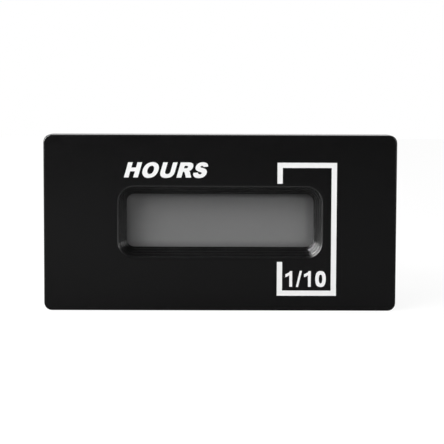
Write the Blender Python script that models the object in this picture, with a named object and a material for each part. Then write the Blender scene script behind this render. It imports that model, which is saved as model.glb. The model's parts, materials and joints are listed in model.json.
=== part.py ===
"""A panel-mount hour meter with a liquid-crystal display.

Metres, +Z up. The front looks toward -Y, the terminals point toward +Y, and the bezel's lower edge is at Z = 0.
A depth is measured back from the front face, and every piece is placed by the depth of its own front.
"""

import math

import bmesh
import bpy
from mathutils import Matrix

MM = 0.001

# Fits
SEAT_GAP = 0.05 * MM  # between faces that rest on each other
SLIP_GAP = 0.15 * MM  # between walls that slide together
BOARD_GAP = 0.3 * MM  # round a board in its case
HOLE_GAP = 0.15 * MM  # round a wire or screw in its hole
ROOT = 0.3 * MM  # how far a rib or boss runs into the wall that carries it

# Front bezel
BEZEL_W = 48.0 * MM
BEZEL_H = 24.0 * MM
BEZEL_CORNER_R = 1.05 * MM
BEZEL_EDGE_R = 0.22 * MM
FLANGE_DEPTH = 4.5 * MM
FLANGE_SIDE = 2.0 * MM  # how far the flange stands out beyond the ends of the case
FLANGE_END = 1.3 * MM  # and beyond its long sides
FACE_WALL = 2.0 * MM

# Stepped recess round the window
OPENING_R = 1.1 * MM
RECESS_SPREAD_SIDE = 0.95 * MM
RECESS_SPREAD_END = 1.12 * MM
RECESS_CORNER_R = 2.05 * MM
RECESS_DEPTH = 2.75 * MM
RECESS_LIP = 0.15 * MM
RECESS_STEPS = 4
TREAD_SHARE = 0.45
TREAD_FALL = 0.06 * MM
THROAT_DEPTH = 0.25 * MM
WINDOW_RISE = 0.13 * MM  # of the window above the middle of the face

# Lens and its seal
LENS_LAP = 1.35 * MM
LENS_T = 0.8 * MM
LENS_CORNER_R = 0.6 * MM
SEAL_LAP = 0.25 * MM
SEAL_T = 0.15 * MM
BOSS_WALL = 1.25 * MM
BOSS_PROUD = 0.1 * MM

# Liquid-crystal cell
FILM_T = 0.2 * MM
GLASS_T = 0.7 * MM
GLASS_SIDE_LAP = 2.6 * MM  # of the front glass past the ends of the window
REAR_GLASS_LAP = 2.06 * MM  # of the rear glass past its long sides
GLASS_LEDGE = 2.2 * MM
REAR_GLASS_INSET = 0.5 * MM
FILM_INSET = 0.35 * MM

# Cell holder and contact strips
HOLDER_INSET_SIDE = 1.675 * MM  # from the ends of the display board
HOLDER_INSET_END = 0.275 * MM  # and from its long sides
HOLDER_SIDE = 3.2 * MM
HOLDER_END = 0.85 * MM
HOLDER_CORNER_R = 1.0 * MM
STRIP_T = 1.5 * MM
STRIP_END_GAP = 1.2 * MM
STRIP_H = 3.6 * MM
HOLDER_WEB = 1.0 * MM
SCREW_FROM_EDGE = 2.2 * MM  # below the edge of the front glass

# Rear case
CASE_CORNER_R = 0.9 * MM
CASE_WALL = 1.2 * MM
CASE_REAR_CHAMFER = 0.5 * MM
SNAP_RISE = 0.35 * MM
SNAP_DEPTH = 0.9 * MM
SNAP_LENGTH = 5.0 * MM
SNAP_FROM_END = 9.5 * MM
RIB_W = 1.6 * MM
RIB_REACH = 1.1 * MM
RIB_FROM_END = 9.3 * MM
POST_SIZE = 3.0 * MM
POST_LENGTH = 3.1 * MM

# Ratchet teeth on the ends of the case
TOOTH_PITCH = 0.8 * MM
TOOTH_RISE = 0.45 * MM
TOOTH_WIDTH = 6.0 * MM
TOOTH_LEAD = 2.65 * MM  # from the gasket to the first tooth
TOOTH_TRAIL = 1.9 * MM  # from the last tooth to the rear of the case

# Boards
DISPLAY_BOARD_T = 1.0 * MM
POWER_BOARD_T = 1.6 * MM
BOARD_AIR = 1.5 * MM  # between the tallest parts on the two boards
BOARD_CORNER_R = 0.5 * MM

# Chips and crystal on the display board
CHIP_SIDE = 7.0 * MM
CHIP_T = 1.4 * MM
CHIP_PINS = 8
CHIP_PITCH = 0.75 * MM
MEMORY_L = 4.9 * MM
MEMORY_W = 3.9 * MM
MEMORY_PITCH = 1.27 * MM
PIN_REACH = 0.9 * MM
PIN_W = 0.32 * MM
PIN_T = 0.18 * MM
CRYSTAL_R = 1.0 * MM
CRYSTAL_L = 6.0 * MM

# Parts on the power board
CAN_R = 3.15 * MM
CAN_L = 6.6 * MM
CAN_LEAD_PITCH = 2.5 * MM
FILM_BOX = (10.0 * MM, 6.4 * MM, 4.4 * MM)
FILM_LEAD_PITCH = 7.5 * MM
DISC_R = 3.1 * MM
DISC_T = 2.6 * MM
DISC_LEAD_PITCH = 5.0 * MM
BRIDGE_BOX = (7.4 * MM, 3.0 * MM, 5.4 * MM)
BRIDGE_LEAD_PITCH = 5.08 * MM
RESISTOR_R = 1.15 * MM
RESISTOR_L = 6.2 * MM
RESISTOR_LEAD_PITCH = 9.0 * MM
RESISTOR_SPACING = 3.3 * MM
LEAD_R = 0.28 * MM
LEAD_TAIL = 0.7 * MM
HEADER_PINS = 4
HEADER_PITCH = 2.0 * MM
HEADER_BODY = 2.4 * MM
HEADER_PIN = 0.5 * MM

# How far in from the end and the edge of its board each part stands
CHIP_UP = -1.8 * MM
MEMORY_FROM_END = 10.3 * MM
MEMORY_UP = 1.6 * MM
CRYSTAL_FROM_END = 10.3 * MM
CRYSTAL_UP = 1.8 * MM
HEADER_FROM_EDGE = 2.6 * MM
CAN_FROM_END = 7.1 * MM
CAN_FROM_EDGE = 5.3 * MM
FILM_FROM_EDGE = 3.8 * MM
DISC_FROM_END = 7.1 * MM
DISC_FROM_EDGE = 5.3 * MM
BRIDGE_FROM_END = 7.3 * MM
BRIDGE_FROM_EDGE = 5.0 * MM
RESISTOR_FROM_END = 7.6 * MM
RESISTOR_FROM_EDGE = 5.0 * MM

# Screws
SCREW_R = 0.75 * MM
SCREW_HEAD_R = 1.35 * MM
SCREW_HEAD_T = 0.8 * MM
SCREW_L = 3.6 * MM
SLOT_W = 0.4 * MM

# Quick-connect terminals
TAB_W = 6.35 * MM
TAB_T = 0.8 * MM
TAB_LENGTH = 8.0 * MM
TAB_TIP = 1.4 * MM
TAB_TIP_CUT = 1.3 * MM
TAB_HOLE_R = 0.85 * MM
TAB_HOLE_PLACE = 3.2 * MM
TAB_SHOULDER = 0.6 * MM
TAB_TANG_W = 2.6 * MM
TAB_FROM_END = 12.9 * MM  # in from the end of the power board
COLLAR_WALL = 0.8 * MM
COLLAR_RISE = 1.2 * MM

# Panel gasket
GASKET_T = 0.8 * MM
GASKET_INSET = 0.3 * MM

# Mounting clip
PANEL_T = 3.0 * MM
CLIP_LENGTH = 4.4 * MM
CLIP_LONG_WALL = 0.75 * MM
CLIP_SIDE_WALL = 0.8 * MM
CLIP_PAWL_RISE = 0.4 * MM
PAWL_GAP = 0.06 * MM
FOOT_RISE = 0.7 * MM
FOOT_LENGTH = 5.0 * MM
TONGUE_W = 5.0 * MM
TONGUE_LENGTH = 4.2 * MM
PAWL_LENGTH = 0.7 * MM
THUMB_RISE = 0.28 * MM
CLIP_INSET = 0.05 * MM  # of feet and tongues from the skins of the frame

# Facets
CORNER_STEPS = 5
EDGE_STEPS = 3
ROUND_SIDES = 20
WIRE_SIDES = 8

# Depths of the stack behind the window
POCKET_FLOOR = RECESS_DEPTH + THROAT_DEPTH
SEAL_FRONT = POCKET_FLOOR + SEAT_GAP
LENS_FRONT = SEAL_FRONT + SEAL_T + SEAT_GAP
BOSS_REAR = LENS_FRONT + LENS_T + BOSS_PROUD
FILM_FRONT = BOSS_REAR + SEAT_GAP
FRONT_GLASS_FRONT = FILM_FRONT + FILM_T + SEAT_GAP
REAR_GLASS_FRONT = FRONT_GLASS_FRONT + GLASS_T + SEAT_GAP
REFLECTOR_FRONT = REAR_GLASS_FRONT + GLASS_T + SEAT_GAP
STRIP_FRONT = FRONT_GLASS_FRONT + GLASS_T + SEAT_GAP
DISPLAY_BOARD_FRONT = STRIP_FRONT + STRIP_H + SEAT_GAP
HOLDER_FRONT = FRONT_GLASS_FRONT
HOLDER_DEPTH = DISPLAY_BOARD_FRONT - SEAT_GAP - HOLDER_FRONT
DISPLAY_BOARD_REAR = DISPLAY_BOARD_FRONT + DISPLAY_BOARD_T

# Depths of the case
CASE_FRONT = FACE_WALL + BOARD_GAP
DISPLAY_PARTS_T = max(PIN_T + CHIP_T, 2 * CRYSTAL_R)
POWER_PARTS_T = max(CAN_L, FILM_BOX[1], 2 * DISC_R)
BOARD_SPACING = SEAT_GAP + DISPLAY_PARTS_T + BOARD_AIR + POWER_PARTS_T + SEAT_GAP
POWER_BOARD_FRONT = DISPLAY_BOARD_REAR + BOARD_SPACING
POWER_BOARD_REAR = POWER_BOARD_FRONT + POWER_BOARD_T
REAR_WALL_FRONT = POWER_BOARD_REAR + SEAT_GAP + POST_LENGTH
CASE_REAR = REAR_WALL_FRONT + CASE_WALL
CASE_LENGTH = CASE_REAR - CASE_FRONT
GASKET_FRONT = FLANGE_DEPTH + SEAT_GAP
GASKET_REAR = GASKET_FRONT + GASKET_T
CLIP_FRONT = GASKET_REAR + PANEL_T
TOOTH_FIRST = GASKET_REAR + TOOTH_LEAD
TOOTH_COUNT = int((CASE_REAR - TOOTH_TRAIL - TOOTH_FIRST) / TOOTH_PITCH)
TOTAL_DEPTH = CASE_REAR + TAB_LENGTH

# Sizes across
CASE_W = BEZEL_W - 2 * FLANGE_SIDE
CASE_H = BEZEL_H - 2 * FLANGE_END
CAVITY_W = CASE_W - 2 * CASE_WALL
CAVITY_H = CASE_H - 2 * CASE_WALL
BOARD_W = CAVITY_W - 2 * BOARD_GAP
BOARD_H = CAVITY_H - 2 * BOARD_GAP
HOLDER_W = BOARD_W - 2 * HOLDER_INSET_SIDE
HOLDER_H = BOARD_H - 2 * HOLDER_INSET_END
GLASS_W = HOLDER_W - 2 * HOLDER_SIDE - 2 * SLIP_GAP
FRONT_GLASS_H = HOLDER_H - 2 * HOLDER_END - 2 * SLIP_GAP
REAR_GLASS_W = GLASS_W - 2 * REAR_GLASS_INSET
REAR_GLASS_H = FRONT_GLASS_H - 2 * GLASS_LEDGE
OPENING_W = GLASS_W - 2 * GLASS_SIDE_LAP
OPENING_H = REAR_GLASS_H - 2 * REAR_GLASS_LAP
LENS_W = OPENING_W + 2 * LENS_LAP
LENS_H = OPENING_H + 2 * LENS_LAP
BOSS_W = LENS_W + 2 * SLIP_GAP + 2 * BOSS_WALL
BOSS_H = LENS_H + 2 * SLIP_GAP + 2 * BOSS_WALL
CLIP_INNER_W = CASE_W + 2 * (TOOTH_RISE + PAWL_GAP + CLIP_PAWL_RISE)
CLIP_INNER_H = CASE_H + 2 * SLIP_GAP
CLIP_W = CLIP_INNER_W + 2 * CLIP_SIDE_WALL
CLIP_H = CLIP_INNER_H + 2 * CLIP_LONG_WALL

# Places across and up from the centre
SNAP_PLACE = CASE_W / 2 - SNAP_FROM_END
RIB_PLACE = CAVITY_W / 2 - RIB_FROM_END
SCREW_PLACE = (GLASS_W / 2 + SLIP_GAP + HOLDER_SIDE / 2, FRONT_GLASS_H / 2 - SCREW_FROM_EDGE)
POST_PLACE = (CAVITY_W / 2 - POST_SIZE / 2, CAVITY_H / 2 - POST_SIZE / 2)
CHIP_PLACE = (0.0, CHIP_UP)
MEMORY_PLACE = (BOARD_W / 2 - MEMORY_FROM_END, MEMORY_UP)
CRYSTAL_PLACE = (CRYSTAL_FROM_END - BOARD_W / 2, CRYSTAL_UP)
HEADER_PLACE = (0.0, BOARD_H / 2 - HEADER_FROM_EDGE)
CAN_PLACE = (CAN_FROM_END - BOARD_W / 2, BOARD_H / 2 - CAN_FROM_EDGE)
FILM_PLACE = (0.0, FILM_FROM_EDGE - BOARD_H / 2)
DISC_PLACE = (BOARD_W / 2 - DISC_FROM_END, BOARD_H / 2 - DISC_FROM_EDGE)
BRIDGE_PLACE = (BRIDGE_FROM_END - BOARD_W / 2, BRIDGE_FROM_EDGE - BOARD_H / 2)
RESISTOR_PLACE = (BOARD_W / 2 - RESISTOR_FROM_END, RESISTOR_FROM_EDGE - BOARD_H / 2)
TAB_SPREAD = BOARD_W / 2 - TAB_FROM_END

# Centres in the world
FRONT_Y = -TOTAL_DEPTH / 2
FACE_Z = BEZEL_H / 2
WINDOW_Z = FACE_Z + WINDOW_RISE


def clear_scene():
    """Removes what the scene holds."""
    for obj in list(bpy.data.objects):
        bpy.data.objects.remove(obj, do_unlink=True)


def material(name, color, roughness, metallic=0.0, transmission=0.0):
    """A plain surface of one colour."""
    made = bpy.data.materials.new(name)
    made.use_nodes = True
    shader = made.node_tree.nodes["Principled BSDF"]
    shader.inputs["Base Color"].default_value = (*color, 1.0)
    shader.inputs["Roughness"].default_value = roughness
    shader.inputs["Metallic"].default_value = metallic
    shader.inputs["Transmission Weight"].default_value = transmission
    made.diffuse_color = (*color, 1.0)
    return made


def placed(name, bm, surface, depth=0.0, across=0.0, up=FACE_Z, turn=0.0):
    """The object that a finished bmesh becomes, at its own place, turned about the upright axis."""
    bmesh.ops.recalc_face_normals(bm, faces=bm.faces)
    mesh = bpy.data.meshes.new(name)
    bm.to_mesh(mesh)
    bm.free()
    mesh.shade_smooth()
    mesh.set_sharp_from_angle(angle=math.radians(32))
    obj = bpy.data.objects.new(name, mesh)
    obj.location = (across, FRONT_Y + depth, up)
    obj.rotation_euler = (0.0, 0.0, turn)
    bpy.context.collection.objects.link(obj)
    if surface:
        mesh.materials.append(surface)
    return obj


def tool(target, name, bm, operation):
    """Cuts a bmesh out of an object, or joins it on, in the object's own place."""
    helper = placed(name, bm, None)
    helper.location = target.location
    helper.rotation_euler = target.rotation_euler
    helper.parent = target.parent
    helper.hide_render = True
    helper.display_type = "WIRE"
    step = target.modifiers.new(name, "BOOLEAN")
    step.operation = operation
    step.solver = "EXACT"
    step.object = helper
    helper.hide_set(True)


def outline(width, height, radius):
    """A rounded rectangle, seen from the front, each corner as an arc."""
    points = []
    for quarter in range(4):
        across = (width / 2 - radius) * (1 if quarter in (0, 3) else -1)
        up = (height / 2 - radius) * (1 if quarter in (0, 1) else -1)
        for step in range(CORNER_STEPS + 1):
            angle = (quarter + step / CORNER_STEPS) * math.pi / 2
            points.append((across + radius * math.cos(angle), up + radius * math.sin(angle)))
    return points


def loft(bm, stations, ring=False, centre=(0.0, 0.0)):
    """A skin through rounded rectangles (width, height, radius, depth), closed by end faces or, as a ring, on itself."""
    loops = []
    for width, height, radius, depth in stations:
        points = outline(width, height, radius)
        loops.append([bm.verts.new((x + centre[0], depth, z + centre[1])) for x, z in points])
    pairs = list(zip(loops, loops[1:]))
    if ring:
        pairs.append((loops[-1], loops[0]))
    else:
        bm.faces.new(loops[0])
        bm.faces.new(loops[-1])
    for near, far in pairs:
        for i in range(len(near)):
            bm.faces.new((near[i - 1], near[i], far[i], far[i - 1]))


def block(bm, size, centre):
    """A rectangular block."""
    place = Matrix.Translation(centre) @ Matrix.Diagonal((*size, 1.0))
    bmesh.ops.create_cube(bm, size=1.0, matrix=place)


def rod(bm, radius, start, end, sides=WIRE_SIDES):
    """A round rod between two points."""
    run = [b - a for a, b in zip(start, end)]
    length = math.sqrt(sum(step * step for step in run))
    middle = [(a + b) / 2 for a, b in zip(start, end)]
    turn = Matrix.Rotation(math.pi / 2, 4, "X") if abs(run[1]) > length / 2 else Matrix.Identity(4)
    if abs(run[0]) > length / 2:
        turn = Matrix.Rotation(math.pi / 2, 4, "Y")
    bmesh.ops.create_cone(
        bm,
        cap_ends=True,
        segments=sides,
        radius1=radius,
        radius2=radius,
        depth=length,
        matrix=Matrix.Translation(middle) @ turn,
    )


def turned(bm, profile, sides=ROUND_SIDES):
    """A piece turned about Y from (radius, depth) points that begin and end on the axis."""
    verts = [bm.verts.new((radius, depth, 0.0)) for radius, depth in profile]
    edges = [bm.edges.new(pair) for pair in zip(verts, verts[1:])]
    bmesh.ops.spin(
        bm,
        geom=verts + edges,
        cent=(0, 0, 0),
        axis=(0, 1, 0),
        angle=2 * math.pi,
        steps=sides,
        use_merge=True,
    )
    bmesh.ops.remove_doubles(bm, verts=bm.verts, dist=1e-7)


def prism(bm, points, axis, low, high):
    """An outline pushed along X or Z. Points are (depth, up) for X and (across, depth) for Z."""
    if axis == "X":
        verts = [bm.verts.new((low, depth, up)) for depth, up in points]
        push = (high - low, 0, 0)
    else:
        verts = [bm.verts.new((across, depth, low)) for across, depth in points]
        push = (0, 0, high - low)
    face = bm.faces.new(verts)
    made = bmesh.ops.extrude_face_region(bm, geom=[face], use_keep_orig=True)
    moved = [item for item in made["geom"] if isinstance(item, bmesh.types.BMVert)]
    bmesh.ops.translate(bm, vec=push, verts=moved)


def recess_stations():
    """The rounded lip and the stepped walls down to the throat, as (width, height, radius, depth)."""
    side, end = 2 * RECESS_SPREAD_SIDE, 2 * RECESS_SPREAD_END

    def at(share, depth):
        radius = OPENING_R + (RECESS_CORNER_R - OPENING_R) * share
        return (OPENING_W + side * share, OPENING_H + end * share, radius, depth)

    lip = RECESS_LIP / RECESS_SPREAD_SIDE
    stations = []
    for step in range(EDGE_STEPS + 1):
        angle = step / EDGE_STEPS * math.pi / 2
        stations.append(at(1.0 + lip * (1 - math.sin(angle)), RECESS_LIP * (1 - math.cos(angle))))
    fall = (RECESS_DEPTH - RECESS_LIP) / RECESS_STEPS
    share, depth = 1.0, RECESS_LIP
    for _ in range(RECESS_STEPS):
        share -= (1 - TREAD_SHARE) / RECESS_STEPS
        depth += fall - TREAD_FALL
        stations.append(at(share, depth))
        share -= TREAD_SHARE / RECESS_STEPS
        depth += TREAD_FALL
        stations.append(at(share, depth))
    stations.append(at(0.0, POCKET_FLOOR))
    return stations


def shifted(stations, rise):
    """Pairs each station with how far its centre lies above the middle of the face."""
    return [(station, rise) for station in stations]


def front_bezel(surface):
    """The front moulding: rounded face, stepped recess, lens pocket in a boss, and the pocket for the case."""
    edge = []
    for step in range(EDGE_STEPS + 1):
        angle = step / EDGE_STEPS * math.pi / 2
        inset = BEZEL_EDGE_R * (1 - math.cos(angle))
        depth = BEZEL_EDGE_R * (1 - math.sin(angle))
        radius = BEZEL_CORNER_R - inset
        edge.append((BEZEL_W - 2 * inset, BEZEL_H - 2 * inset, radius, depth))
    pocket = (LENS_W + 2 * SLIP_GAP, LENS_H + 2 * SLIP_GAP, LENS_CORNER_R)
    boss = (BOSS_W, BOSS_H, LENS_CORNER_R + BOSS_WALL)
    cavity = (CASE_W + 2 * SLIP_GAP, CASE_H + 2 * SLIP_GAP, CASE_CORNER_R)
    window = recess_stations()
    window += [(*pocket, POCKET_FLOOR), (*pocket, BOSS_REAR), (*boss, BOSS_REAR), (*boss, FACE_WALL)]
    rear = [(*cavity, FACE_WALL), (*cavity, FLANGE_DEPTH), (BEZEL_W, BEZEL_H, BEZEL_CORNER_R, FLANGE_DEPTH)]
    bm = bmesh.new()
    loops = []
    for station, rise in shifted(edge, 0.0) + shifted(window, WINDOW_RISE) + shifted(rear, 0.0):
        width, height, radius, depth = station
        loops.append([bm.verts.new((x, depth, z + rise)) for x, z in outline(width, height, radius)])
    for near, far in zip(loops, loops[1:] + loops[:1]):
        for i in range(len(near)):
            bm.faces.new((near[i - 1], near[i], far[i], far[i - 1]))
    bezel = placed("front_bezel", bm, surface)
    bm = bmesh.new()
    for across, up, long_side in snap_places():
        rise = SNAP_RISE + SLIP_GAP
        length, depth = SNAP_LENGTH + 2 * SLIP_GAP, SNAP_DEPTH + 2 * SLIP_GAP
        reach = 2 * (rise + SLIP_GAP)
        size = (length, depth, reach) if long_side else (reach, depth, length)
        block(bm, size, (across, snap_depth(), up))
    tool(bezel, "bezel_snap_slots", bm, "DIFFERENCE")
    return bezel


def snap_depth():
    """The depth of the middle of the snap ridges."""
    return (CASE_FRONT + FLANGE_DEPTH) / 2


def snap_places():
    """Where the case snaps into the bezel, as (across, up, on a long side), on the case's own skin."""
    places = [(sign * CASE_W / 2, 0.0, False) for sign in (-1, 1)]
    for across in (-SNAP_PLACE, SNAP_PLACE):
        places += [(across, sign * CASE_H / 2, True) for sign in (-1, 1)]
    return places


def lens_stack(clear, glass, film, mirror, rubber):
    """The lens, its seal and the liquid-crystal cell, one behind the other."""

    def sheet(name, surface, width, height, radius, thickness, front):
        bm = bmesh.new()
        loft(bm, [(width, height, radius, 0.0), (width, height, radius, thickness)])
        return placed(name, bm, surface, depth=front, up=WINDOW_Z)

    bm = bmesh.new()
    outer = (LENS_W, LENS_H, LENS_CORNER_R)
    inner = (OPENING_W + 2 * SEAL_LAP, OPENING_H + 2 * SEAL_LAP, OPENING_R)
    loft(bm, [(*outer, 0.0), (*inner, 0.0), (*inner, SEAL_T), (*outer, SEAL_T)], ring=True)
    placed("lens_seal", bm, rubber, depth=SEAL_FRONT, up=WINDOW_Z)

    sheet("window_lens", clear, LENS_W, LENS_H, LENS_CORNER_R, LENS_T, LENS_FRONT)
    film_size = (REAR_GLASS_W - 2 * FILM_INSET, REAR_GLASS_H - 2 * FILM_INSET, OPENING_R / 2)
    sheet("front_polariser", film, *film_size, FILM_T, FILM_FRONT)
    corner = OPENING_R / 4
    sheet("display_front_glass", glass, GLASS_W, FRONT_GLASS_H, corner, GLASS_T, FRONT_GLASS_FRONT)
    sheet("display_rear_glass", glass, REAR_GLASS_W, REAR_GLASS_H, corner, GLASS_T, REAR_GLASS_FRONT)
    sheet("rear_reflector", mirror, *film_size, FILM_T, REFLECTOR_FRONT)


def strip_place():
    """How far above the window's centre the upper contact strip lies."""
    return REAR_GLASS_H / 2 + GLASS_LEDGE / 2


def display_holder(surface):
    """The moulded frame that holds the cell against the bezel, with slots for the contact strips."""
    bm = bmesh.new()
    outer = (HOLDER_W, HOLDER_H, HOLDER_CORNER_R)
    loft(bm, [(*outer, 0.0), (*outer, HOLDER_DEPTH)])
    holder = placed("display_holder", bm, surface, depth=HOLDER_FRONT, up=WINDOW_Z)

    bm = bmesh.new()
    corner = OPENING_R / 4
    front = (GLASS_W + 2 * SLIP_GAP, FRONT_GLASS_H + 2 * SLIP_GAP, corner)
    rear = (REAR_GLASS_W + 2 * SLIP_GAP, REAR_GLASS_H + 2 * SLIP_GAP, corner)
    step = GLASS_T + SEAT_GAP / 2
    floor = REFLECTOR_FRONT + FILM_T + SEAT_GAP - HOLDER_FRONT
    loft(bm, [(*front, -ROOT), (*front, step), (*rear, step), (*rear, floor)])
    tool(holder, "holder_cell_pocket", bm, "DIFFERENCE")

    bm = bmesh.new()
    slot_w = GLASS_W - 2 * STRIP_END_GAP + 2 * SLIP_GAP
    slot_t = STRIP_T + SLIP_GAP
    for sign in (-1, 1):
        middle = (0.0, HOLDER_DEPTH / 2 + step / 2, sign * strip_place())
        block(bm, (slot_w, HOLDER_DEPTH - step + 2 * ROOT, slot_t), middle)
    relief = (slot_w, REAR_GLASS_H - 2 * HOLDER_WEB, OPENING_R)
    loft(bm, [(*relief, floor + HOLDER_WEB), (*relief, HOLDER_DEPTH + ROOT)])
    for across, up in screw_places():
        start = (across, HOLDER_DEPTH - SCREW_L, up)
        rod(bm, SCREW_R + HOLE_GAP / 2, start, (across, HOLDER_DEPTH + ROOT, up), sides=WIRE_SIDES)
    tool(holder, "holder_slots", bm, "DIFFERENCE")


def screw_places():
    """The four holder screws, across and up."""
    return [(i * SCREW_PLACE[0], j * SCREW_PLACE[1]) for j in (1, -1) for i in (-1, 1)]


def contact_strips(surface):
    """The two elastomer strips between the glass and the display board."""
    for name, sign in (("contact_strip_upper", 1), ("contact_strip_lower", -1)):
        bm = bmesh.new()
        block(bm, (GLASS_W - 2 * STRIP_END_GAP, STRIP_H, STRIP_T), (0.0, STRIP_H / 2, 0.0))
        placed(name, bm, surface, depth=STRIP_FRONT, up=WINDOW_Z + sign * strip_place())


def screw(name, surface, across, up, depth, length, turn=0.0):
    """A slotted pan-head screw that points forward, its head's underside at the given depth."""
    bm = bmesh.new()
    crown = 0.3 * SCREW_HEAD_T
    profile = [
        (0.0, -length),
        (SCREW_R * 0.5, -length),
        (SCREW_R, -length + SCREW_R),
        (SCREW_R, 0.0),
        (SCREW_HEAD_R, 0.0),
        (SCREW_HEAD_R, SCREW_HEAD_T - crown),
        (SCREW_HEAD_R - crown, SCREW_HEAD_T),
        (0.0, SCREW_HEAD_T),
    ]
    turned(bm, profile, sides=WIRE_SIDES * 2)
    made = placed(name, bm, surface, depth=depth, across=across, up=up, turn=turn)
    bm = bmesh.new()
    block(bm, (3 * SCREW_HEAD_R, SCREW_HEAD_T, SLOT_W), (0.0, SCREW_HEAD_T, 0.0))
    tool(made, name + "_slot", bm, "DIFFERENCE")


def holder_screws(surface):
    """Four screws through the display board into the holder."""
    length = DISPLAY_BOARD_T + SCREW_L - SCREW_R
    for number, (across, up) in enumerate(screw_places(), start=1):
        depth = DISPLAY_BOARD_REAR + SEAT_GAP
        screw(f"holder_screw_{number}", surface, across, WINDOW_Z + up, depth, length)


def header_pins():
    """How far across each pin of the header stands."""
    first = HEADER_PLACE[0] - HEADER_PITCH * (HEADER_PINS - 1) / 2
    return [first + HEADER_PITCH * i for i in range(HEADER_PINS)]


def lead_places():
    """Where the wires of the supply parts pass the power board, across and up."""
    places = []
    for place, pitch in (
        (CAN_PLACE, CAN_LEAD_PITCH),
        (FILM_PLACE, FILM_LEAD_PITCH),
        (DISC_PLACE, DISC_LEAD_PITCH),
    ):
        places += [(place[0] + sign * pitch / 2, place[1]) for sign in (-1, 1)]
    half = BRIDGE_LEAD_PITCH / 2
    places += [(BRIDGE_PLACE[0] + i * half, BRIDGE_PLACE[1] + j * half) for i in (-1, 1) for j in (-1, 1)]
    for row in resistor_rows():
        places += [(RESISTOR_PLACE[0] + sign * RESISTOR_LEAD_PITCH / 2, row) for sign in (-1, 1)]
    return places


def resistor_rows():
    """How far up each resistor lies."""
    return [RESISTOR_PLACE[1] + sign * RESISTOR_SPACING / 2 for sign in (1, -1)]


def board(name, surface, thickness, depth, up):
    """A bare circuit board."""
    bm = bmesh.new()
    outer = (BOARD_W, BOARD_H, BOARD_CORNER_R)
    loft(bm, [(*outer, 0.0), (*outer, thickness)])
    return placed(name, bm, surface, depth=depth, up=up)


def display_board(surface):
    """The board behind the cell, with holes for the screws and the header."""
    made = board("display_board", surface, DISPLAY_BOARD_T, DISPLAY_BOARD_FRONT, FACE_Z)
    bm = bmesh.new()
    front, rear = -ROOT, DISPLAY_BOARD_T + ROOT
    for across, up in screw_places():
        up += WINDOW_RISE
        rod(bm, SCREW_R + HOLE_GAP, (across, front, up), (across, rear, up), sides=WIRE_SIDES * 2)
    for across in header_pins():
        up = HEADER_PLACE[1]
        rod(bm, HEADER_PIN, (across, front, up), (across, rear, up))
    tool(made, "display_board_holes", bm, "DIFFERENCE")


def power_board(surface):
    """The rear board: notches for the ribs of the case, and holes for wires, header, tabs and screws."""
    made = board("power_board", surface, POWER_BOARD_T, POWER_BOARD_FRONT, FACE_Z)
    bm = bmesh.new()
    front, rear = -ROOT, POWER_BOARD_T + ROOT
    middle = POWER_BOARD_T / 2
    for across, up, long_side in rib_places():
        width = RIB_W + 2 * BOARD_GAP
        reach = 2 * (RIB_REACH + BOARD_GAP)
        size = (width, rear - front, reach) if long_side else (reach, rear - front, width)
        block(bm, size, (across, middle, up))
    for across, up in lead_places():
        rod(bm, LEAD_R + HOLE_GAP, (across, front, up), (across, rear, up))
    for across in header_pins():
        up = HEADER_PLACE[1]
        rod(bm, HEADER_PIN, (across, front, up), (across, rear, up))
    for sign in (-1, 1):
        size = (TAB_T + 2 * HOLE_GAP, rear - front, TAB_TANG_W + 2 * HOLE_GAP)
        block(bm, size, (sign * TAB_SPREAD, middle, 0.0))
        across, up = sign * POST_PLACE[0], -sign * POST_PLACE[1]
        rod(bm, SCREW_R + HOLE_GAP, (across, front, up), (across, rear, up))
    tool(made, "power_board_holes", bm, "DIFFERENCE")


def rib_places():
    """The ribs inside the case that the display board rests on, as (across, up, on a long side)."""
    places = [(sign * CAVITY_W / 2, 0.0, False) for sign in (-1, 1)]
    for across in (-RIB_PLACE, RIB_PLACE):
        places += [(across, sign * CAVITY_H / 2, True) for sign in (-1, 1)]
    return places


def gull_pin(bm, turn, along, reach, drop):
    """One pin of a chip: out of its side, down and out again onto the board."""
    start = reach - 2 * PIN_REACH
    knee = reach - 0.6 * PIN_REACH
    points = [
        (start, -drop - PIN_T),
        (knee, -drop - PIN_T),
        (knee, -PIN_T),
        (reach, -PIN_T),
        (reach, 0.0),
        (knee - PIN_T, 0.0),
        (knee - PIN_T, -drop),
        (start, -drop),
    ]
    before = set(bm.verts)
    low = along - PIN_W / 2
    verts = [bm.verts.new((x, y, low)) for x, y in reversed(points)]
    face = bm.faces.new(verts)
    made = bmesh.ops.extrude_face_region(bm, geom=[face], use_keep_orig=True)
    moved = [item for item in made["geom"] if isinstance(item, bmesh.types.BMVert)]
    bmesh.ops.translate(bm, vec=(0, 0, PIN_W), verts=moved)
    new = [vert for vert in bm.verts if vert not in before]
    bmesh.ops.rotate(bm, cent=(0, 0, 0), matrix=Matrix.Rotation(turn, 3, "Y"), verts=new)


def chip(name, surface, width, height, place, rows):
    """A moulded chip that stands on the back of the display board. Rows are (turn, pins, pitch, reach)."""
    bm = bmesh.new()
    middle = CHIP_T / 2
    slope = 0.12 * CHIP_T
    corner = PIN_W
    body = [
        (width - 2 * slope, height - 2 * slope, corner, 0.0),
        (width, height, corner, -middle),
        (width - 2 * slope, height - 2 * slope, corner, -CHIP_T),
    ]
    loft(bm, body)
    lift = PIN_T
    bmesh.ops.translate(bm, vec=(0, -lift, 0), verts=bm.verts)
    depth = DISPLAY_BOARD_REAR + SEAT_GAP
    made = placed(name, bm, surface, depth=depth, across=place[0], up=FACE_Z + place[1], turn=math.pi)
    bm = bmesh.new()
    for turn, pins, pitch, reach in rows:
        for i in range(pins):
            gull_pin(bm, turn, (i - (pins - 1) / 2) * pitch, reach, lift + middle)
    tool(made, name + "_pins", bm, "UNION")


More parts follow.
